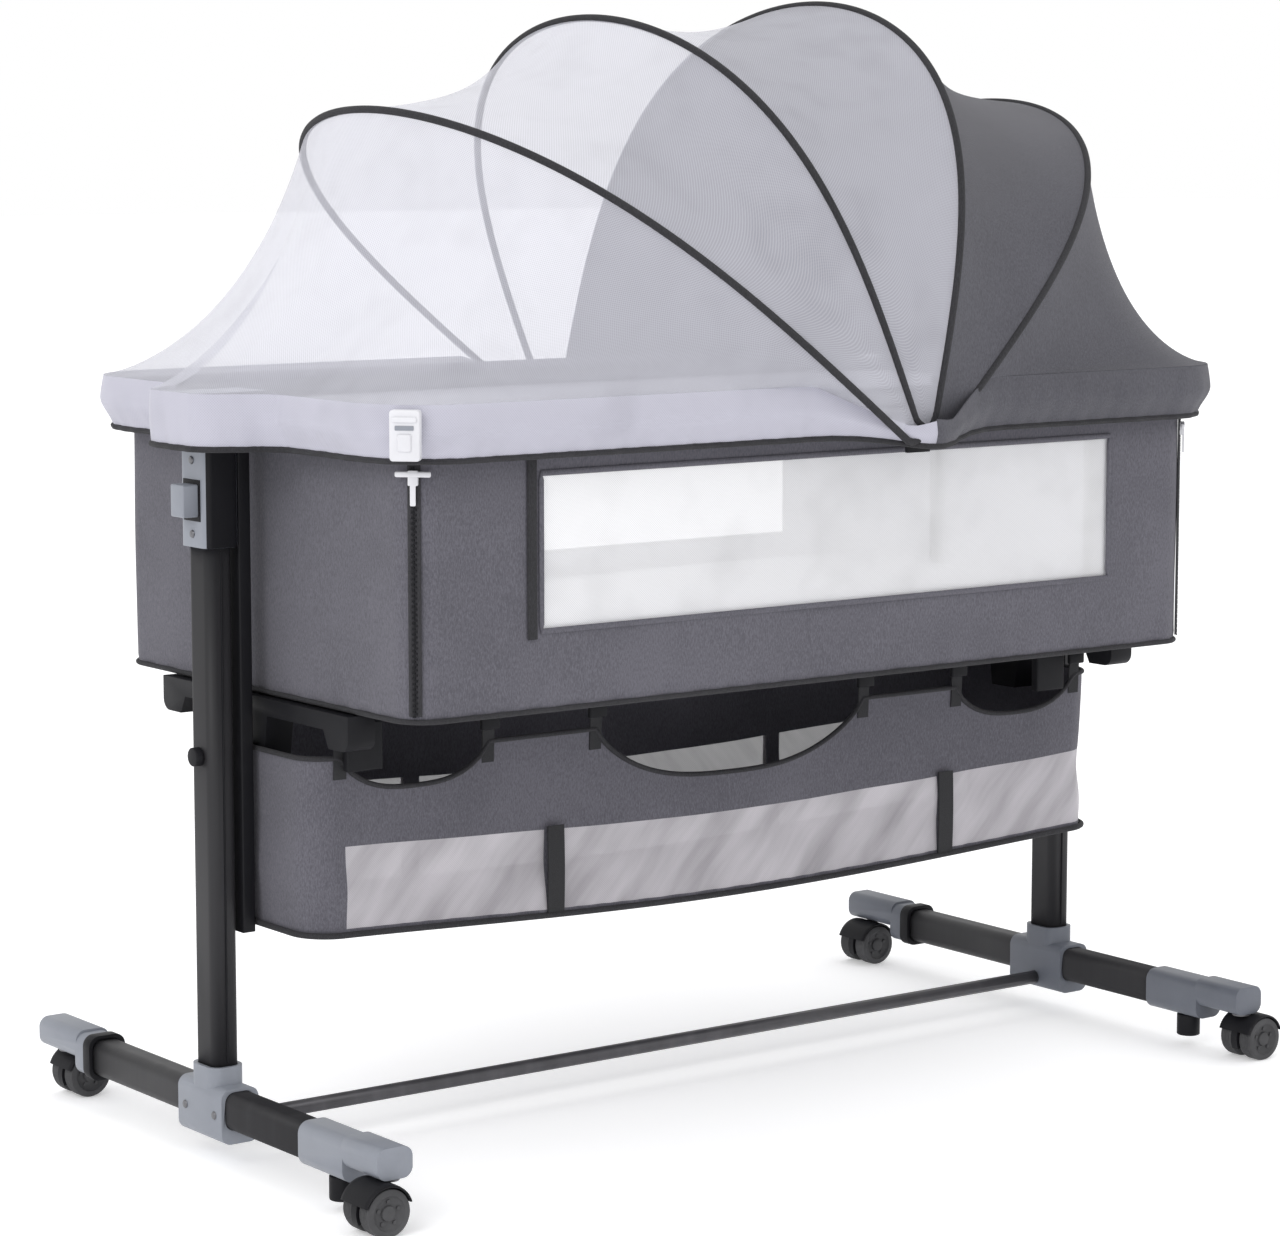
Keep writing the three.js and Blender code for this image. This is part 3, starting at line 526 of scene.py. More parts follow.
def skirt(name, sx, number, material, thickness=0.0):
    """The cover's skirt round the rail: full over the tube, then drawn in below it by the hem's elastic."""
    columns, count = 241, 14
    _, low, _ = cover_edge(sx, number, columns)
    around = np.concatenate([[0], np.cumsum(np.linalg.norm(np.diff(low[:, :2], axis=0), axis=1))])
    by_hub = np.exp(-(((low[:, 0] - PIVOT_X) / 0.05) ** 2))
    bottom = np.full(columns, SKIRT_HEM) - 0.009 * by_hub
    by_bracket = (np.abs(low[:, 0]) > RAIL_HIGH.x - 0.01) * (1 - smoothstep(np.abs(low[:, 1]), 0.045, 0.105))
    free = (1 - by_bracket) * (1 - 0.8 * by_hub)
    tangent = np.gradient(low[:, :2], axis=0)
    tangent /= np.linalg.norm(tangent, axis=1)[:, None]
    normal = np.stack([tangent[:, 1], -tangent[:, 0]], axis=1) * sx
    rows = []
    for t in np.linspace(0, 1, count):
        row = low.copy()
        row[:, 2] = low[:, 2] + (bottom - low[:, 2]) * t
        ripple = t * (0.0008 * np.sin(around * 260) + 0.0007 * np.sin(around * 97 + 1.0))
        out = skirt_profile(t, HEM_TUCK) * free + 0.0012 * math.sin(t * math.pi) * (1 - free) + ripple
        row[:, :2] += normal * out[:, None]
        rows.append(row)
    points = np.array(rows)
    obj = sheet_object(name, points, material, "bed", thickness, flip=sx > 0)
    line = smooth_path(points[-1], 260)
    sweep(f"{name}_piping", line, 0.0026, PIPING, "bed", sides=8)


def canopy_hoops():
    """Each hoop's wire inside its dark sleeve, with the flat eye at each end that turns on the pin."""
    for number in HOOP_SHAPES:
        line = on_hoop(number, np.linspace(0.0, 1.0, 241))
        sleeve = sweep(f"hoop_sleeve_{number}", line, PIPE_RADIUS, PIPING, f"hoop_{number}",
                       sides=12, up=(0.2, 0.0, 1.0))
        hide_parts(f"canopy_hoop_{number}")
        profile = [(0.0034, -EYE_HALF), (0.0070, -EYE_HALF), (0.0075, -0.0016), (0.0075, 0.0016),
                   (0.0070, EYE_HALF), (0.0034, EYE_HALF)]
        for end, place in (("front", line[0]), ("back", line[-1])):
            revolve(f"hoop_{number}_{end}_eye", profile, (PIVOT_X, place[1], PIVOT_Z), "Y", BLACK_PLASTIC,
                    f"hoop_{number}", 32)


# ---------------------------------------------------------------- the bed's body

BODY_LOW, BODY_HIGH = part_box("fabric_body")
BODY_HALF = (BODY_HIGH.x, BODY_HIGH.y)
BODY_CORNER = 0.030
BODY_TOP = 0.602               # where the cloth turns out towards the rail
WINDOW_X = (-0.301, 0.322)
WINDOW_Z = (0.460, 0.588)
TAPE_THICK = 0.0008
RAIL_Z = (RAIL_LOW.z + RAIL_HIGH.z) / 2


def outline_with(half_x, half_y, corner, breaks, step=0.0065, corner_steps=12):
    """A rounded rectangle's (x, y, nx, ny), anticlockwise from the front's left end. The long sides have
    points at each of the breaks in x, so that openings end on a column."""
    points = []

    def straight(start, end, normal, stops):
        marks = [start] + stops + [end]
        for a, b in zip(marks, marks[1:]):
            a, b = np.array(a), np.array(b)
            steps = max(1, round(float(np.linalg.norm(b - a)) / step))
            points.extend((*(a + (b - a) * k / steps), *normal) for k in range(steps))

    def turn(cx, cy, first):
        for k in range(corner_steps):
            angle = math.radians(first + 90 * k / corner_steps)
            nx, ny = math.cos(angle), math.sin(angle)
            points.append((cx + corner * nx, cy + corner * ny, nx, ny))

    ax, ay = half_x - corner, half_y - corner
    inside = [x for x in sorted(breaks) if -ax < x < ax]
    straight((-ax, -half_y), (ax, -half_y), (0, -1), [(x, -half_y) for x in inside])
    turn(ax, -ay, -90)
    straight((half_x, -ay), (half_x, ay), (1, 0), [(half_x, y) for y in (-HEAD_HALF, HEAD_HALF)])
    turn(ax, ay, 0)
    straight((ax, half_y), (-ax, half_y), (0, 1), [(x, half_y) for x in reversed(inside)])
    turn(-ax, ay, 90)
    straight((-half_x, ay), (-half_x, -ay), (-1, 0), [(-half_x, y) for y in (HEAD_HALF, -HEAD_HALF)])
    turn(-ax, -ay, 180)
    return np.array(points)


def pucker(x, y, z, low, high):
    """Small folds in cloth held top and bottom: long soft waves, with shorter ones beside the lower seam."""
    run = x * 1.0 + y * 0.83
    soft = np.sin(run * 31 + z * 9) * 0.0007 + np.sin(run * 13 - z * 17 + 1.3) * 0.0009
    near = np.exp(-((z - low) / 0.018) ** 2)
    short = np.sin(run * 170 + 2.1 * np.sin(run * 23)) * 0.0006 * near
    slack = np.sin(np.clip((z - low) / (high - low), 0, 1) * np.pi)
    return soft * slack + short


def body_rows():
    """The heights of the body's rows, each with how far the cloth stands out from the body's outline."""
    heights = [BODY_LOW.z + 0.0005, BODY_LOW.z + 0.004]
    marks = (0.402, *WINDOW_Z, BODY_TOP)
    for low, high, count in zip(marks, marks[1:], (9, 18, 3)):
        heights += list(np.linspace(low, high, count, endpoint=False))
    rows = [(z, -0.0035 * (1 - smoothstep(z, BODY_LOW.z, BODY_LOW.z + 0.006))) for z in heights]
    reach = RAIL_HIGH.x - BODY_HALF[0] - 0.011
    rows += [(BODY_TOP, 0.0), (0.606, 0.002), (0.610, 0.005), (0.616, 0.010)]
    for degrees in (-60, -30, 0, 30, 60, 90, 120, 150):
        angle = math.radians(degrees)
        rows.append((RAIL_Z + 0.0122 * math.sin(angle), reach + 0.0122 * math.cos(angle)))
    return rows


def in_window(x, y, z):
    return abs(y) > 0.2 and WINDOW_X[0] < x < WINDOW_X[1] and WINDOW_Z[0] < z < WINDOW_Z[1]


def build_body():
    """The cloth body: grey outside, lined inside, a net window in each long side and a hem on the rail."""
    outline = outline_with(*BODY_HALF, BODY_CORNER, list(WINDOW_X))
    rows = body_rows()
    count = len(outline)
    points = np.zeros((len(rows), count, 3))
    for j, (z, out) in enumerate(rows):
        fold = pucker(outline[:, 0], outline[:, 1], z, BODY_LOW.z, BODY_TOP) * (z < BODY_TOP)
        points[j, :, :2] = outline[:, :2] + outline[:, 2:] * (out + fold - 0.0006)[:, None]
        points[j, :, 2] = z
    flat = points.reshape(-1, 3)
    faces = []
    for face in grid_faces(count, len(rows), closed=True):
        centre = flat[list(face)].mean(0)
        on_bracket = abs(centre[1]) < HEAD_HALF and abs(centre[0]) > 0.3 and centre[2] > HEAD_CUT_Z
        if not in_window(*centre) and not on_bracket:
            faces.append(face)
    uvs = wrap_uvs(outline, flat)
    body = make_object("body_cloth", flat, faces, GREY, "bed", uvs, 70.0)
    body.data.materials.append(LINING)
    thicken(body, 0.0026).material_offset = 1
    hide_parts("fabric_body", "front_drop_panel")
    rounded_plate("body_underside", BODY_HALF[0] - 0.004, BODY_HALF[1] - 0.004, BODY_CORNER - 0.004,
                  BODY_LOW.z + 0.0008, 0.0016, GREY, "bed")
    low = [(x, y, BODY_LOW.z + 0.0032) for x, y in outline[:, :2] + outline[:, 2:] * -0.0008]
    sweep("body_bottom_piping", low, 0.0022, PIPING, "bed", closed=True)
    for side, sy in ENDS:
        window(side, sy)


def rounded_plate(name, half_x, half_y, corner, bottom, thickness, material, body, hang=lambda x: 0.0):
    """A thin plate with round corners; hang gives how much lower it lies at each x."""
    ring = outline_with(half_x, half_y, corner, [], 0.02, 6)[:, :2]
    scales = np.linspace(1.0, 0.0, 9)[:-1]
    top = []
    for scale in scales:
        for x, y in ring:
            top.append((x * scale, y * scale, bottom + thickness - float(hang(x * scale))))
    centre = len(top)
    top.append((0, 0, bottom + thickness - float(hang(0.0))))
    count = len(ring)
    faces = grid_faces(count, len(scales), closed=True)
    last = (len(scales) - 1) * count
    faces += [(last + i, last + (i + 1) % count, centre) for i in range(count)]
    uvs = np.array(top)[:, :2]
    obj = make_object(name, top, faces, material, body, uvs, 60.0)
    thicken(obj, thickness)


def window(side, sy):
    """One side's net pane, drawn a little inwards, with its binding, and the tape beside the front one."""
    x = np.linspace(WINDOW_X[0] - 0.004, WINDOW_X[1] + 0.004, 61)
    z = np.linspace(WINDOW_Z[0] - 0.004, WINDOW_Z[1] + 0.004, 15)
    grid_x, grid_z = np.meshgrid(x, z)
    middle = np.sin(np.linspace(0, np.pi, 61))[None, :] * np.sin(np.linspace(0, np.pi, 15))[:, None]
    y = sy * (BODY_HALF[1] - 0.0022 - 0.003 * middle)
    points = np.stack([grid_x, y, grid_z], axis=2)
    pane = sheet_object(f"{side}_window_net", points, WINDOW_NET, "bed", flip=sy > 0)
    out = sy * (BODY_HALF[1] + 0.0006)
    corners = [(WINDOW_X[0], WINDOW_Z[0]), (WINDOW_X[1], WINDOW_Z[0]), (WINDOW_X[1], WINDOW_Z[1]),
               (WINDOW_X[0], WINDOW_Z[1])]
    loop = []
    for (xa, za), (xb, zb) in zip(corners, corners[1:] + corners[:1]):
        for k in range(24):
            t = k / 24
            loop.append((xa + (xb - xa) * t, out, za + (zb - za) * t))
    sweep(f"{side}_window_binding", loop, 0.0024, GREY, "bed", sides=8, closed=True, flat=0.5,
          up=(0, 1, 0))
    if sy < 0:
        window_tape(WINDOW_X[0] - 0.0095, out, (WINDOW_Z[0] - 0.006, BODY_TOP), 0.009)


def window_tape(x, y, z_range, width):
    """The dark tape sewn on the front, up beside the window."""
    z = np.linspace(*z_range, 40)
    columns = [x - width / 2, x - width / 2 + 0.001, x, x + width / 2 - 0.001, x + width / 2]
    lifts = [0.0, 0.0006, 0.0009, 0.0006, 0.0]
    points = np.zeros((len(z), 5, 3))
    for i, (px, lift) in enumerate(zip(columns, lifts)):
        fold = pucker(np.full(len(z), px), np.full(len(z), y), z, BODY_LOW.z, BODY_TOP)
        points[:, i] = np.stack([np.full(len(z), px), y - (lift + fold), z], axis=1)
    sheet_object("front_window_tape", points, PIPING, "bed", TAPE_THICK)


def build_zip(side, sx):
    """The zip at a front corner: two dark tapes, the coil between them and the pull's bar at the slider."""
    cx, cy = sx * (BODY_HALF[0] - BODY_CORNER), -(BODY_HALF[1] - BODY_CORNER)
    z = np.linspace(BODY_LOW.z + 0.008, 0.601, 60)
    angles = np.radians(np.array([-9.5, -8.0, -5.5, -3.0, 3.0, 5.5, 8.0, 9.5]))
    lifts = [0.0, 0.0009, 0.0012, 0.0007, 0.0007, 0.0012, 0.0009, 0.0]
    points = np.zeros((len(z), len(angles), 3))
    middle = math.radians(-45 if sx > 0 else -135)
    for i, (angle, lift) in enumerate(zip(angles, lifts)):
        turn = middle + angle
        radius = BODY_CORNER + 0.0004 + lift
        points[:, i] = np.stack([np.full(len(z), cx + radius * math.cos(turn)),
                                 np.full(len(z), cy + radius * math.sin(turn)), z], axis=1)
    sheet_object(f"{side}_zip_tape", points, PIPING, "bed", TAPE_THICK)
    out = Vector((math.cos(middle), math.sin(middle), 0))
    across = Vector((-out.y, out.x, 0))
    base = Vector((cx, cy, 0)) + out * (BODY_CORNER + 0.0012)
    vertices, faces = [], []
    pitch = 0.0022
    for k in range(int((z[-1] - z[0]) / pitch)):
        lean = 0.0009 if k % 2 else -0.0009
        centre = base + across * lean + Vector((0, 0, z[0] + k * pitch))
        first = len(vertices)
        for dz in (-0.0008, 0.0008):
            for du, dn in ((-0.0016, 0.0), (0.0016, 0.0), (0.0011, 0.0012), (-0.0011, 0.0012)):
                vertices.append(centre + across * du + out * dn + Vector((0, 0, dz)))
        faces += [tuple(first + i for i in face) for face in
                  ((3, 2, 1, 0), (4, 5, 6, 7), (0, 1, 5, 4), (1, 2, 6, 5), (2, 3, 7, 6), (3, 0, 4, 7))]
    make_object(f"{side}_zip_teeth", vertices, faces, BLACK_PLASTIC, "bed", angle=30.0)
    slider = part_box(f"{side}_zip_slider")
    bar = base + out * 0.0030
    rounded_block(f"{side}_zip_pull_bar", (bar.x, bar.y, slider[1].z - 0.0030), (0.0290, 0.0034, 0.0046),
                  0.0014, WHITE_PLASTIC, f"{side}_zip", middle + math.pi / 2)


def build_mattress():
    """The mattress: a crowned pad with piped edges and a few quilted lines across it."""
    low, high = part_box("mattress")
    half_x, half_y = high.x - 0.0035, high.y - 0.0035
    ring = outline_with(half_x, half_y, 0.034, [], 0.012, 8)
    count = len(ring)
    levels = [(0.0, 0.006), (0.0, 0.0015), (0.004, 0.0), (0.012, -0.0004), (0.020, 0.0012), (0.0235, 0.0055)]
    vertices = []
    for rise, inset in levels:
        for x, y, nx, ny in ring:
            vertices.append((x - nx * inset, y - ny * inset, low.z + 0.0006 + rise))
    top_scales = np.linspace(0.975, 0.0, 22)[:-1]
    for scale in top_scales:
        for x, y, _, _ in ring:
            vertices.append(mattress_top(x * scale, y * scale, half_x, half_y, high.z))
    centre = len(vertices)
    vertices.append(mattress_top(0.0, 0.0, half_x, half_y, high.z))
    rows = len(levels) + len(top_scales)
    faces = grid_faces(count, rows, closed=True)
    last = (rows - 1) * count
    faces += [(last + i, last + (i + 1) % count, centre) for i in range(count)]
    faces.append(tuple(range(count))[::-1])
    uvs = np.array(vertices)[:, :2]
    pad = make_object("mattress_pad", vertices, faces, MATTRESS, "bed", uvs, 80.0)
    swell(pad, 0.004)
    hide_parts("mattress")
    edge = [(x + nx * 0.0006, y + ny * 0.0006, low.z + 0.0215) for x, y, nx, ny in ring]
    sweep("mattress_piping", edge, 0.0016, MATTRESS, "bed", sides=8, closed=True)


def mattress_top(x, y, half_x, half_y, high):
    """A point of the pad's top: crowned towards the edges, with quilted lines across."""
    edge = min((half_x - abs(x)) / 0.05, (half_y - abs(y)) / 0.05, 1.0)
    crown = 0.0022 * math.sin(max(edge, 0.0) * math.pi / 2)
    quilt = 0.0009 * math.exp(-((((x + half_x) / 0.2) % 1 - 0.5) / 0.022) ** 2) * max(edge, 0)
    return (x, y, high - 0.0032 + crown - quilt)


def swell(obj, limit):
    """A short cloth simulation under slight pressure, for a filled pad's creases; limit caps each move."""
    rest = np.array([v.co for v in obj.data.vertices])
    work = obj.copy()
    work.data = obj.data.copy()
    bpy.context.scene.collection.objects.link(work)
    cloth = work.modifiers.new("cloth", "CLOTH")
    cloth.settings.use_pressure = True
    cloth.settings.uniform_pressure_force = 2.5
    cloth.settings.effector_weights.gravity = 0
    cloth.settings.quality = 5
    for frame_number in range(1, 13):
        bpy.context.scene.frame_set(frame_number)
    shown = work.evaluated_get(bpy.context.evaluated_depsgraph_get())
    moved = np.array([v.co for v in shown.data.vertices])
    shift = moved - rest
    size = np.linalg.norm(shift, axis=1)[:, None]
    shift *= np.minimum(1.0, limit / np.maximum(size, 1e-9))
    low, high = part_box("mattress")
    result = rest + shift
    result[:, 2] = np.clip(result[:, 2], low.z + 0.0004, high.z - 0.0004)
    result[:, 0] = np.clip(result[:, 0], low.x + 0.0005, high.x - 0.0005)
    result[:, 1] = np.clip(result[:, 1], low.y + 0.0005, high.y - 0.0005)
    obj.data.vertices.foreach_set("co", result.astype(np.float32).ravel())
    bpy.data.objects.remove(work)
    bpy.context.scene.frame_set(1)


# ---------------------------------------------------------------- basket

BASKET_LOW, BASKET_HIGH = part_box("basket")
BASKET_CORNER = 0.030
NET_TOP = (0.275, 0.296)       # the net panels' upper seam, front and back
NET_BOTTOM = BASKET_LOW.z + 0.0075
NET_X = (-0.404, 0.4355)
SCALLOPS = [(-0.335, 0.074, 0.319), (0.0, 0.150, 0.297), (0.335, 0.074, 0.319)]
FLOOR_BOW = 0.0135             # how far the loaded floor's middle hangs below its ends
FLOOR_RISE = 0.0075            # how far its ends lie above the CAD floor
STRAPS_X = (-0.409, -0.262, -0.150, 0.150, 0.262, 0.409)
STRAP_FOOT = 0.331
HOOKS_X = (-0.391, 0.370)      # the black hooks at the basket's ends
TAPES_X = ((-0.193, 0.249), (-0.214, 0.199))   # the tapes between net panels, front and back


def basket_top(x, y):
    """The height of the basket's edge: it dips in three scallops along the front."""
    top = np.full(np.shape(x), BASKET_HIGH.z)
    for middle, half, low in SCALLOPS:
        away = np.minimum(np.abs(x - middle) / half, 1.0)
        dip = BASKET_HIGH.z - (BASKET_HIGH.z - low) * (1 - away ** 2.8) ** 0.8
        top = np.where((away < 1) & (y < -0.08), np.minimum(top, dip), top)
    return top


def bow(x):
    """How much lower than the CAD floor the loaded floor hangs at x: down in the middle, up at the ends."""
    return FLOOR_BOW * np.cos(np.clip(np.abs(x) / BASKET_HIGH.x, 0, 1) * math.pi / 2) ** 1.3 - FLOOR_RISE


def build_basket():
    """The basket: cloth ends and a scalloped upper band, net panels below, piped edges and a stiff floor."""
    breaks = list(NET_X) + [x + d for side in TAPES_X for x in side for d in (-0.008, 0.008)]
    breaks += [m + s * h for m, h, _ in SCALLOPS for s in (-1, -0.75, -0.5, 0.5, 0.75, 1)]
    outline = outline_with(BASKET_HIGH.x, BASKET_HIGH.y, BASKET_CORNER, sorted(breaks), 0.008)
    count = len(outline)
    x, y = outline[:, 0], outline[:, 1]
    tops = basket_top(x, y)
    seam = np.where(y < 0, NET_TOP[0], NET_TOP[1])
    seam = seam + (NET_TOP[1] - NET_TOP[0]) * smoothstep(y, -0.06, 0.06) * (y < 0)
    drop = bow(x)
    seam = seam - drop - FLOOR_RISE
    net_bottom = NET_BOTTOM - drop
    heights = []
    for share in np.linspace(0, 1, 3):
        heights.append(BASKET_LOW.z + 0.0006 - drop + (NET_BOTTOM - BASKET_LOW.z - 0.0006) * share)
    for share in np.linspace(0, 1, 12)[1:]:
        heights.append(net_bottom + (seam - net_bottom) * share)
    for share in np.linspace(0, 1, 11)[1:]:
        heights.append(seam + (tops - seam) * share)
    points = []
    for z in heights:
        sag = 0.0035 * np.sin(np.clip((z - BASKET_LOW.z) / 0.15, 0, 1) * np.pi)
        wave = pucker(x * 1.3, y, z, BASKET_LOW.z, BASKET_HIGH.z) * 1.6
        slack = 0.0022 * np.sin(x * 46 + z * 60) * np.exp(-((z - 0.24) / 0.03) ** 2)
        out = wave + slack - sag * 0.5 - 0.0012
        points.append(np.stack([x + outline[:, 2] * out, y + outline[:, 3] * out, z], axis=1))
    points = np.array(points)
    flat = points.reshape(-1, 3)
    cloth, net = [], []
    for number, face in enumerate(grid_faces(count, len(heights), closed=True)):
        centre = flat[list(face)].mean(0)
        panel = abs(centre[1]) > 0.08 and NET_X[0] < centre[0] < NET_X[1]
        back = int(centre[1] > 0)
        low_band = 2 <= number // count < 13     # the grid's rows between the foot and the seam
        over_post = any(abs(centre[0] - post) < 0.008 for post in TAPES_X[back])
        (net if panel and low_band and not over_post else cloth).append(face)
    uvs = wrap_uvs(outline, flat)
    shell = make_object("basket_cloth", flat, cloth, GREY, "bed", uvs, 70.0)
    thicken(shell, 0.0016)
    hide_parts("basket")
    panels = make_object("basket_net_panels", flat, net, BASKET_NET, "bed", uvs, 70.0)
    trim_loose(panels)
    trim_loose(shell)
    rounded_plate("basket_floor_board", BASKET_HIGH.x - 0.003, BASKET_HIGH.y - 0.003, BASKET_CORNER - 0.003,
                  BASKET_LOW.z + 0.0004, 0.0021, GREY, "bed", bow)
    rim = points[-1] + np.concatenate([outline[:, 2:] * 0.0004, np.zeros((count, 1))], axis=1)
    sweep("basket_rim_piping", rim, 0.0022, PIPING, "bed", closed=True)
    foot = [(px + nx * 0.0004, py + ny * 0.0004, BASKET_LOW.z + 0.0026 - bow(px))
            for px, py, nx, ny in outline]
    sweep("basket_bottom_piping", foot, 0.0026, PIPING, "bed", closed=True)
    basket_tapes()


def trim_loose(obj):
    """Removes the points that no face uses."""
    work = bmesh.new()
    work.from_mesh(obj.data)
    loose = [vertex for vertex in work.verts if not vertex.link_faces]
    bmesh.ops.delete(work, geom=loose, context="VERTS")
    work.to_mesh(obj.data)
    work.free()


def basket_tapes():
    """Black tapes over the joins between net panels, and the straps, buckles and hooks below the bed."""
    for (side, sy), posts, seam in zip(ENDS, TAPES_X, NET_TOP):
        for number, post in enumerate(posts):
            low, high = BASKET_LOW.z + 0.004 - bow(post), seam - 0.0035 - bow(post)
            path = [(post, sy * (BASKET_HIGH.y + 0.0007 + 0.0009 * math.sin(t * math.pi)),
                     low + (high - low) * t) for t in np.linspace(0, 1, 20)]
            band(f"basket_{side}_tape_{number + 1}", path, 0.017, 0.0014, WEBBING, (1, 0, 0))
        for number, x in enumerate(STRAPS_X):
            hang = [(x, sy * (BASKET_HIGH.y - 0.0012 + 0.003 * t),
                     STRAP_FOOT + (BODY_LOW.z + 0.001 - STRAP_FOOT) * t) for t in np.linspace(0, 1, 14)]
            band(f"basket_{side}_strap_{number + 1}", hang, 0.012, 0.0014, WEBBING, (1, 0, 0))
            buckle(f"basket_{side}_buckle_{number + 1}", (x, sy * (BASKET_HIGH.y + 0.0026), 0.366))
        for (end, _), x in zip(SIDES, HOOKS_X):
            centre = (x, sy * (BASKET_HIGH.y + 0.0062), 0.3585)
            buckle(f"basket_{side}_{end}_hook", centre, (0.0340, 0.0090, 0.0410))


def band(name, path, width, thickness, material, across):
    """A flat strap along a path, with its width along across."""
    path = np.asarray(path, float)
    across = np.array(across, float)
    points = np.stack([path + across * width * share for share in (-0.5, -0.46, 0.0, 0.46, 0.5)], axis=1)
    sheet_object(name, points, material, "bed", thickness)


def buckle(name, centre, size=(0.0185, 0.0048, 0.0135)):
    """A black buckle block that a strap runs behind."""
    rounded_block(name, centre, size, 0.0016, BLACK_PLASTIC, "bed")


def rounded_block(name, centre, size, bevel, material, body, turn=0.0):
    """A box with rounded edges, turned about Z."""
    mesh = bmesh.new()
    bmesh.ops.create_cube(mesh, size=1.0)
    for vertex in mesh.verts:
        vertex.co = Vector([a * b for a, b in zip(vertex.co, size)])
    bmesh.ops.bevel(mesh, geom=mesh.edges[:], offset=bevel, segments=4, profile=0.5, affect="EDGES")
    bmesh.ops.rotate(mesh, verts=mesh.verts[:], cent=(0, 0, 0), matrix=Matrix.Rotation(turn, 3, "Z"))
    vertices = [tuple(vertex.co + Vector(centre)) for vertex in mesh.verts]
    faces = [tuple(vertex.index for vertex in face.verts) for face in mesh.faces]
    mesh.free()
    make_object(name, vertices, faces, material, body, np.array(vertices)[:, :2], 30.0)


def revolve(name, profile, centre, axis, material, body, steps=64, start=0.0, turn=2 * math.pi):
    """A lathe form: profile is (radius, along) points round an axis; a part turn has both ends closed."""
    closed = turn > 2 * math.pi - 1e-6
    count = steps if closed else steps + 1
    axes = {"X": (1, 2, 0), "Y": (2, 0, 1), "Z": (0, 1, 2)}[axis]
    vertices, uvs = [], []
    for k in range(count):
        angle = start + turn * k / steps
        for radius, along in profile:
            point = [0.0, 0.0, 0.0]
            point[axes[0]] = radius * math.cos(angle)
            point[axes[1]] = radius * math.sin(angle)
            point[axes[2]] = along
            vertices.append(tuple(p + c for p, c in zip(point, centre)))
            uvs.append((angle * 0.02, along))
    size = len(profile)
    faces = []
    for k in range(steps):
        for i in range(size):
            a, b = k * size + i, k * size + (i + 1) % size
            c, d = ((k + 1) % count) * size + (i + 1) % size, ((k + 1) % count) * size + i
            faces.append((a, d, c, b))
    if not closed:
        faces.append(tuple(range(size)))
        faces.append(tuple((count - 1) * size + i for i in range(size))[::-1])
    obj = make_object(name, vertices, faces, material, body, np.array(uvs), 38.0)
    fix_normals(obj)
    return obj


def fix_normals(obj):
    """Turns every face outwards."""
    work = bmesh.new()
    work.from_mesh(obj.data)
    bmesh.ops.recalc_face_normals(work, faces=work.faces[:])
    work.to_mesh(obj.data)
    work.free()


# ---------------------------------------------------------------- casters

TYRE_GROOVES = 5
BOSSES = 5
BOSS_RING = 0.0098             # the radius of the ring of bosses on each wheel


def build_caster(name):
    """A twin-wheel caster: ribbed tyres with dished hubs, under a smooth hood on its stem."""
    low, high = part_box(f"{name}_wheel")
    centre = ((low.x + high.x) / 2, (low.y + high.y) / 2, (low.z + high.z) / 2)
    body = name.replace("_caster", "")
    radius = (high.z - low.z) / 2
    inner, outer = 0.0045, (high.y - low.y) / 2
    tyre = [(0.0035, inner), (radius - 0.0022, inner), (radius - 0.0006, inner + 0.0008),
            (radius, inner + 0.0026)]
    for k in range(TYRE_GROOVES):
        along = inner + 0.0036 + k * (outer - inner - 0.0072) / (TYRE_GROOVES - 1)
        tyre += [(radius, along - 0.0004), (radius - 0.0006, along), (radius, along + 0.0004)]
    tyre += [(radius, outer - 0.0026), (radius - 0.0007, outer - 0.0008), (radius - 0.0026, outer),
             (radius - 0.0055, outer - 0.0001), (radius - 0.0066, outer - 0.0016),
             (radius - 0.0105, outer - 0.0030), (0.0066, outer - 0.0030), (0.0060, outer - 0.0012),
             (0.0040, outer - 0.0004), (0.0001, outer - 0.0003), (0.0001, inner)]
    boss = [(0.0001, -0.001), (0.0016, -0.001), (0.0016, 0.0006), (0.0012, 0.001), (0.0001, 0.001)]
    for sy, side in ((-1, "outer"), (1, "inner")):
        profile = [(r, sy * along) for r, along in tyre]
        wheel = revolve(f"{name}_{side}_tyre", profile, centre, "Y", TYRE, f"{body}_wheel")
        for k in range(BOSSES):
            angle = 2 * math.pi * k / BOSSES
            spot = (centre[0] + BOSS_RING * math.sin(angle), centre[1] + sy * (outer - 0.0026),
                    centre[2] + BOSS_RING * math.cos(angle))
            revolve(f"{name}_{side}_boss_{k + 1}", boss, spot, "Y", TYRE, f"{body}_wheel", 12)
        if sy < 0:
            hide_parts(f"{name}_wheel")
    revolve(f"{name}_axle", [(0.0001, -inner - 0.001), (0.003, -inner - 0.001), (0.003, inner + 0.001),
            (0.0001, inner + 0.001)], centre, "Y", STEEL, f"{body}_wheel", 24)
    hood = [(0.0209, outer - 0.0004), (0.0219, outer + 0.0002), (0.0227, outer - 0.0008),
            (0.0230, outer - 0.004)]
    hood = [(r, -along) for r, along in hood] + hood[::-1]
    cover = revolve(f"{name}_hood", hood, centre, "Y", BLACK_PLASTIC, f"{body}_fork", 48,
                    math.radians(-72), math.radians(144))
    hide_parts(f"{name}_fork")
    web = [(0.0040, -0.0038), (0.0214, -0.0038), (0.0214, 0.0038), (0.0040, 0.0038)]
    revolve(f"{name}_web", web, centre, "Y", BLACK_PLASTIC, f"{body}_fork", 48,
            math.radians(-118), math.radians(236))
    stem_x = JOINTS[f"{body}_swivel"]["pos_m"][0]
    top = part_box(f"{name}_fork")[1].z
    collar = [(0.0001, 0.0415), (0.0082, 0.0415), (0.0086, 0.0422), (0.0086, 0.0430), (0.0040, 0.0433),
              (0.0040, top), (0.0001, top)]
    revolve(f"{name}_stem", collar, (stem_x, centre[1], 0.0), "Z", STEEL, f"{body}_fork", 32)


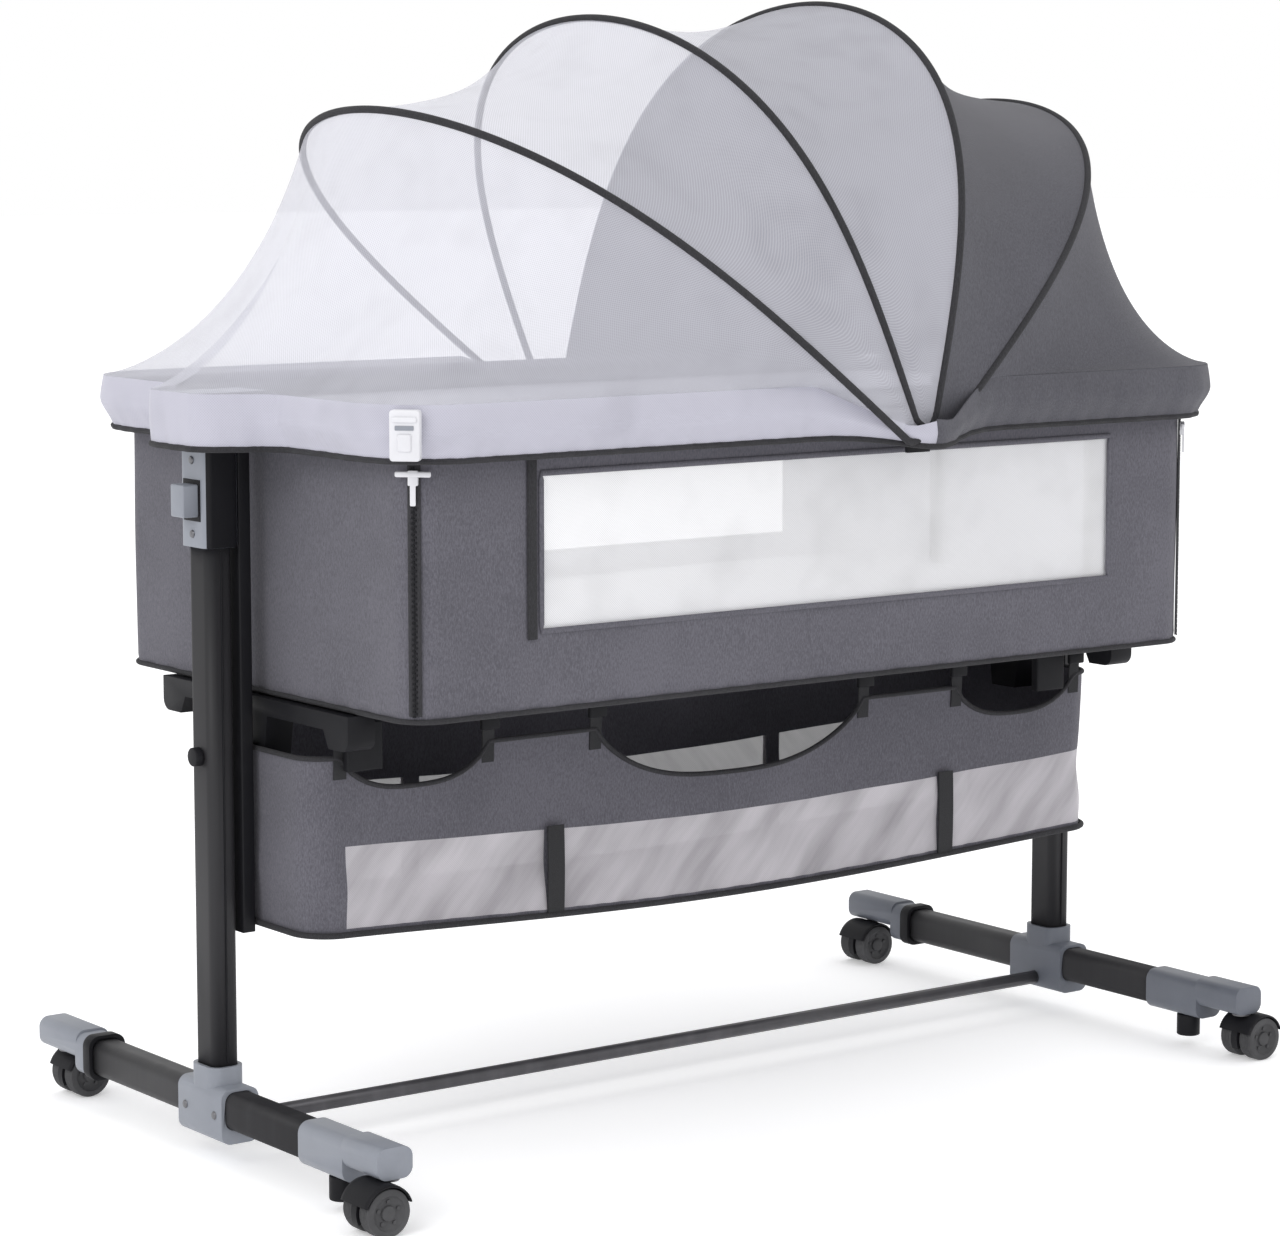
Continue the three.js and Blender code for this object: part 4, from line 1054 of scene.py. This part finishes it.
# ---------------------------------------------------------------- hardware

def finish_cad(node, material, bevel=0.0012, segments=3, ends=None):
    """Gives a CAD solid its finish, its hard edges eased; a second material, if given, goes on its front and
    back faces as painted shade.
    """
    obj = frame["nodes"][node]
    mesh = obj.data
    mesh.materials.clear()
    mesh.materials.append(material)
    if ends:
        mesh.materials.append(ends)
        for polygon in mesh.polygons:
            polygon.material_index = int(abs(polygon.normal.y) > 0.7)
    weld = obj.modifiers.new("weld", "WELD")
    weld.merge_threshold = 0.00002
    if bevel:
        ease = obj.modifiers.new("ease", "BEVEL")
        ease.width = bevel
        ease.segments = segments
        ease.limit_method = "ANGLE"
        ease.angle_limit = math.radians(40)
        ease.harden_normals = True
    mesh.shade_smooth()


def screw(name, centre, axis, radius, body):
    """A pan-head screw, its head towards axis."""
    sign = 1 if axis[0] + axis[1] + axis[2] > 0 else -1
    letter = "X" if axis[0] else "Y" if axis[1] else "Z"
    head = [(0.0001, -0.0010), (radius, -0.0010), (radius, 0.0004), (radius * 0.8, 0.0012), (0.0001, 0.0015)]
    revolve(name, [(r, sign * a) for r, a in head], centre, letter, STEEL, body, 24)


STAND_FINISHES = (
    ("height_button", LIGHT_PLASTIC, 0.0014), ("back_collar", BLACK_PLASTIC, 0.0008),
    ("front_pad", BLACK_PLASTIC, 0.0012), ("post_stop", BLACK_PLASTIC, 0.0012),
    ("basket_hanger", BLACK_PLASTIC, 0.0016), ("under_support", BLACK_PLASTIC, 0.0016),
    ("foot_rail", TUBE, 0.0), ("outer_post", TUBE, 0.0), ("inner_post", STEEL, 0.0),
    ("zip_slider", WHITE_PLASTIC, 0.0007))


def build_stand(side, sx):
    """One end's finishes, with its screws, the grooves of its post, a thin black plate painted as the shade
    round its button, and its casters.
    """
    # the right end's hub and caps take the darker copy of the plastic: painted shade
    lit_or_shaded_plastic = LIGHT_PLASTIC if sx < 0 else SHADED_PLASTIC
    for part in ("foot_hub", "front_cap", "back_cap"):
        finish_cad(f"{side}_{part}", lit_or_shaded_plastic, 0.0018)
    # the bracket's front and back faces are black: painted shade for the sides turned away from the key light
    finish_cad(f"{side}_bracket", LIGHT_PLASTIC, 0.0018, ends=BLACK_PLASTIC)
    for part, material, bevel in STAND_FINISHES:
        finish_cad(f"{side}_{part}", material, bevel)
    low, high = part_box(f"{side}_outer_post")
    for end, sy in ENDS:
        path = [((low.x + high.x) / 2 + 0.0003 * sx, sy * (abs(low.y) + 0.0002), z)
                for z in np.linspace(0.086, high.z - 0.002, 30)]
        sweep(f"{side}_post_groove_{end}", path, 0.0009, BLACK_PLASTIC, "stand", sides=6)
    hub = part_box(f"{side}_foot_hub")
    for k, y in enumerate((-0.024, 0.024)):
        screw(f"{side}_hub_screw_{k + 1}", (hub[sx > 0].x, y, 0.045), (sx, 0, 0), 0.0036, "stand")
    for k, z in enumerate((0.531, 0.592)):
        screw(f"{side}_bracket_screw_{k + 1}", (POST_FACE * sx, 0.0, z), (sx, 0, 0), 0.0034, "bed")
    # a thin black plate round the height button: painted shade of its recess
    rounded_block(f"{side}_button_shade_plate", (sx * 0.4886, 0.0, 0.559), (0.0012, 0.0272, 0.0345), 0.0005,
                  BLACK_PLASTIC, "bed")
    for end, _ in ENDS:
        finish_cad(f"{side}_{end}_upright", STEEL, 0.0)
        build_caster(f"{side}_{end}_caster")


def under_bed():
    """The webbing and a buckle at each corner under the bed."""
    for side, sx in SIDES:
        for end, sy in ENDS:
            x = sx * UNDER_X
            buckle(f"{side}_{end}_claw", (x, sy * 0.1425, 0.3835))
            path = [(x, sy * (0.030 + 0.075 * t), 0.3905 - 0.010 * math.sin(t * math.pi))
                    for t in np.linspace(0, 1, 16)]
            band(f"{side}_{end}_under_webbing", path, 0.018, 0.0014, GREY_WEBBING, (1, 0, 0))


def build_rail_clip():
    """The white clip at the rail's left front corner: a ribbed plate with a grey strip painted as the shade
    of its recess, and a hooked lip.
    """
    finish_cad("left_rail_clip", WHITE_PLASTIC, 0.0022, 4)
    low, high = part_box("left_rail_clip")
    turn = math.radians(-45)
    out = Vector((-math.sin(math.radians(45)), -math.cos(math.radians(45)), 0))
    middle = (Vector(low) + Vector(high)) / 2 + out * 0.0052
    # the grey strip on the white clip is painted shade of its recess
    pieces = (("slot_shade", 0.006, (0.0150, 0.0014, 0.0036), LIGHT_PLASTIC, 0.0005),
              ("upper_lip", 0.0125, (0.0200, 0.0030, 0.0046), WHITE_PLASTIC, 0.0014),
              ("hook", -0.0055, (0.0110, 0.0036, 0.0140), WHITE_PLASTIC, 0.0016))
    for name, rise, size, material, bevel in pieces:
        centre = middle + Vector((0, 0, rise))
        rounded_block(f"rail_clip_{name}", centre, size, bevel, material, "bed", turn)


# ---------------------------------------------------------------- assembly

canopy_panel("net_panel_1", 1, 2, WHITE_NET, "canopy_mesh_1", 0.026)
canopy_panel("net_panel_2", 2, 3, WHITE_NET, "canopy_mesh_2", 0.018)
canopy_panel("fabric_panel", 3, 4, CANOPY, "canopy_fabric", 0.026, CANOPY_THICK)
end_cover("left_net_cover", -1, 1, WHITE_NET, "left_net")
end_cover("right_fabric_cover", 1, 4, CANOPY, "right_cover", CANOPY_THICK)
skirt("left_skirt", -1, 1, SKIRT_NET)
skirt("right_skirt", 1, 4, CANOPY, CANOPY_THICK)
canopy_hoops()
build_body()
for side, sx in SIDES:
    build_zip(side, sx)
    build_stand(side, sx)
build_mattress()
build_basket()
under_bed()
for name, material, bevel in (
        ("crossbar", CROSS_TUBE, 0.0), ("bed_rail", STEEL, 0.0), ("base_frame", STEEL, 0.0),
        ("base_board", BOARD, 0.0006), ("front_canopy_pivot", BLACK_PLASTIC, 0.0008),
        ("back_canopy_pivot", BLACK_PLASTIC, 0.0008)):
    finish_cad(name, material, bevel)
build_rail_clip()


# ---------------------------------------------------------------- studio

def studio():
    """A pale floor that meets a pale surround, soft light from all round and a key from the front left."""
    floor_mesh = bpy.data.meshes.new("floor")
    floor_mesh.from_pydata([(-30, -30, 0), (30, -30, 0), (30, 30, 0), (-30, 30, 0)], [], [(0, 1, 2, 3)])
    floor = bpy.data.objects.new("floor", floor_mesh)
    bpy.context.scene.collection.objects.link(floor)
    paint = Paint("pale_floor")
    paint.set(Base_Color=(0.93, 0.93, 0.94, 1), Roughness=0.9, Specular_IOR_Level=0.1,
              Emission_Color=(1, 1, 1, 1), Emission_Strength=0.30)
    floor_mesh.materials.append(paint.material)

    world = bpy.data.worlds.new("surround")
    world.use_nodes = True
    background = world.node_tree.nodes["Background"]
    background.inputs["Color"].default_value = (1, 1, 1, 1)
    background.inputs["Strength"].default_value = 1.0
    bpy.context.scene.world = world

    for name, place, aim, size, power in (
            ("key", (-3.2, -1.4, 2.6), (0, 0, 0.5), 2.0, 34.0),
            ("fill", (1.6, -3.2, 1.8), (0, 0, 0.5), 2.4, 5.0),
            ("top", (0.3, 0.6, 3.4), (0, 0, 0.5), 2.4, 9.0)):
        light = bpy.data.lights.new(name, "AREA")
        light.shape = "DISK"
        light.size = size
        light.energy = power
        lamp = bpy.data.objects.new(name, light)
        lamp.location = place
        lamp.rotation_euler = (Vector(aim) - Vector(place)).to_track_quat("-Z", "Y").to_euler()
        bpy.context.scene.collection.objects.link(lamp)


def camera():
    """The photo's view, from a fit of the casters, posts, rail and hoops."""
    data = bpy.data.cameras.new("camera")
    data.lens = 107.4
    data.sensor_width = 36.0
    data.clip_end = 100.0
    view = bpy.data.objects.new("camera", data)
    view.location = (-2.054, -2.7333, 0.8652)
    view.rotation_euler = (math.radians(90 - 7.36), 0, math.radians(-36.52))
    bpy.context.scene.collection.objects.link(view)
    bpy.context.scene.camera = view


studio()
camera()
bpy.context.scene.view_settings.view_transform = "Standard"
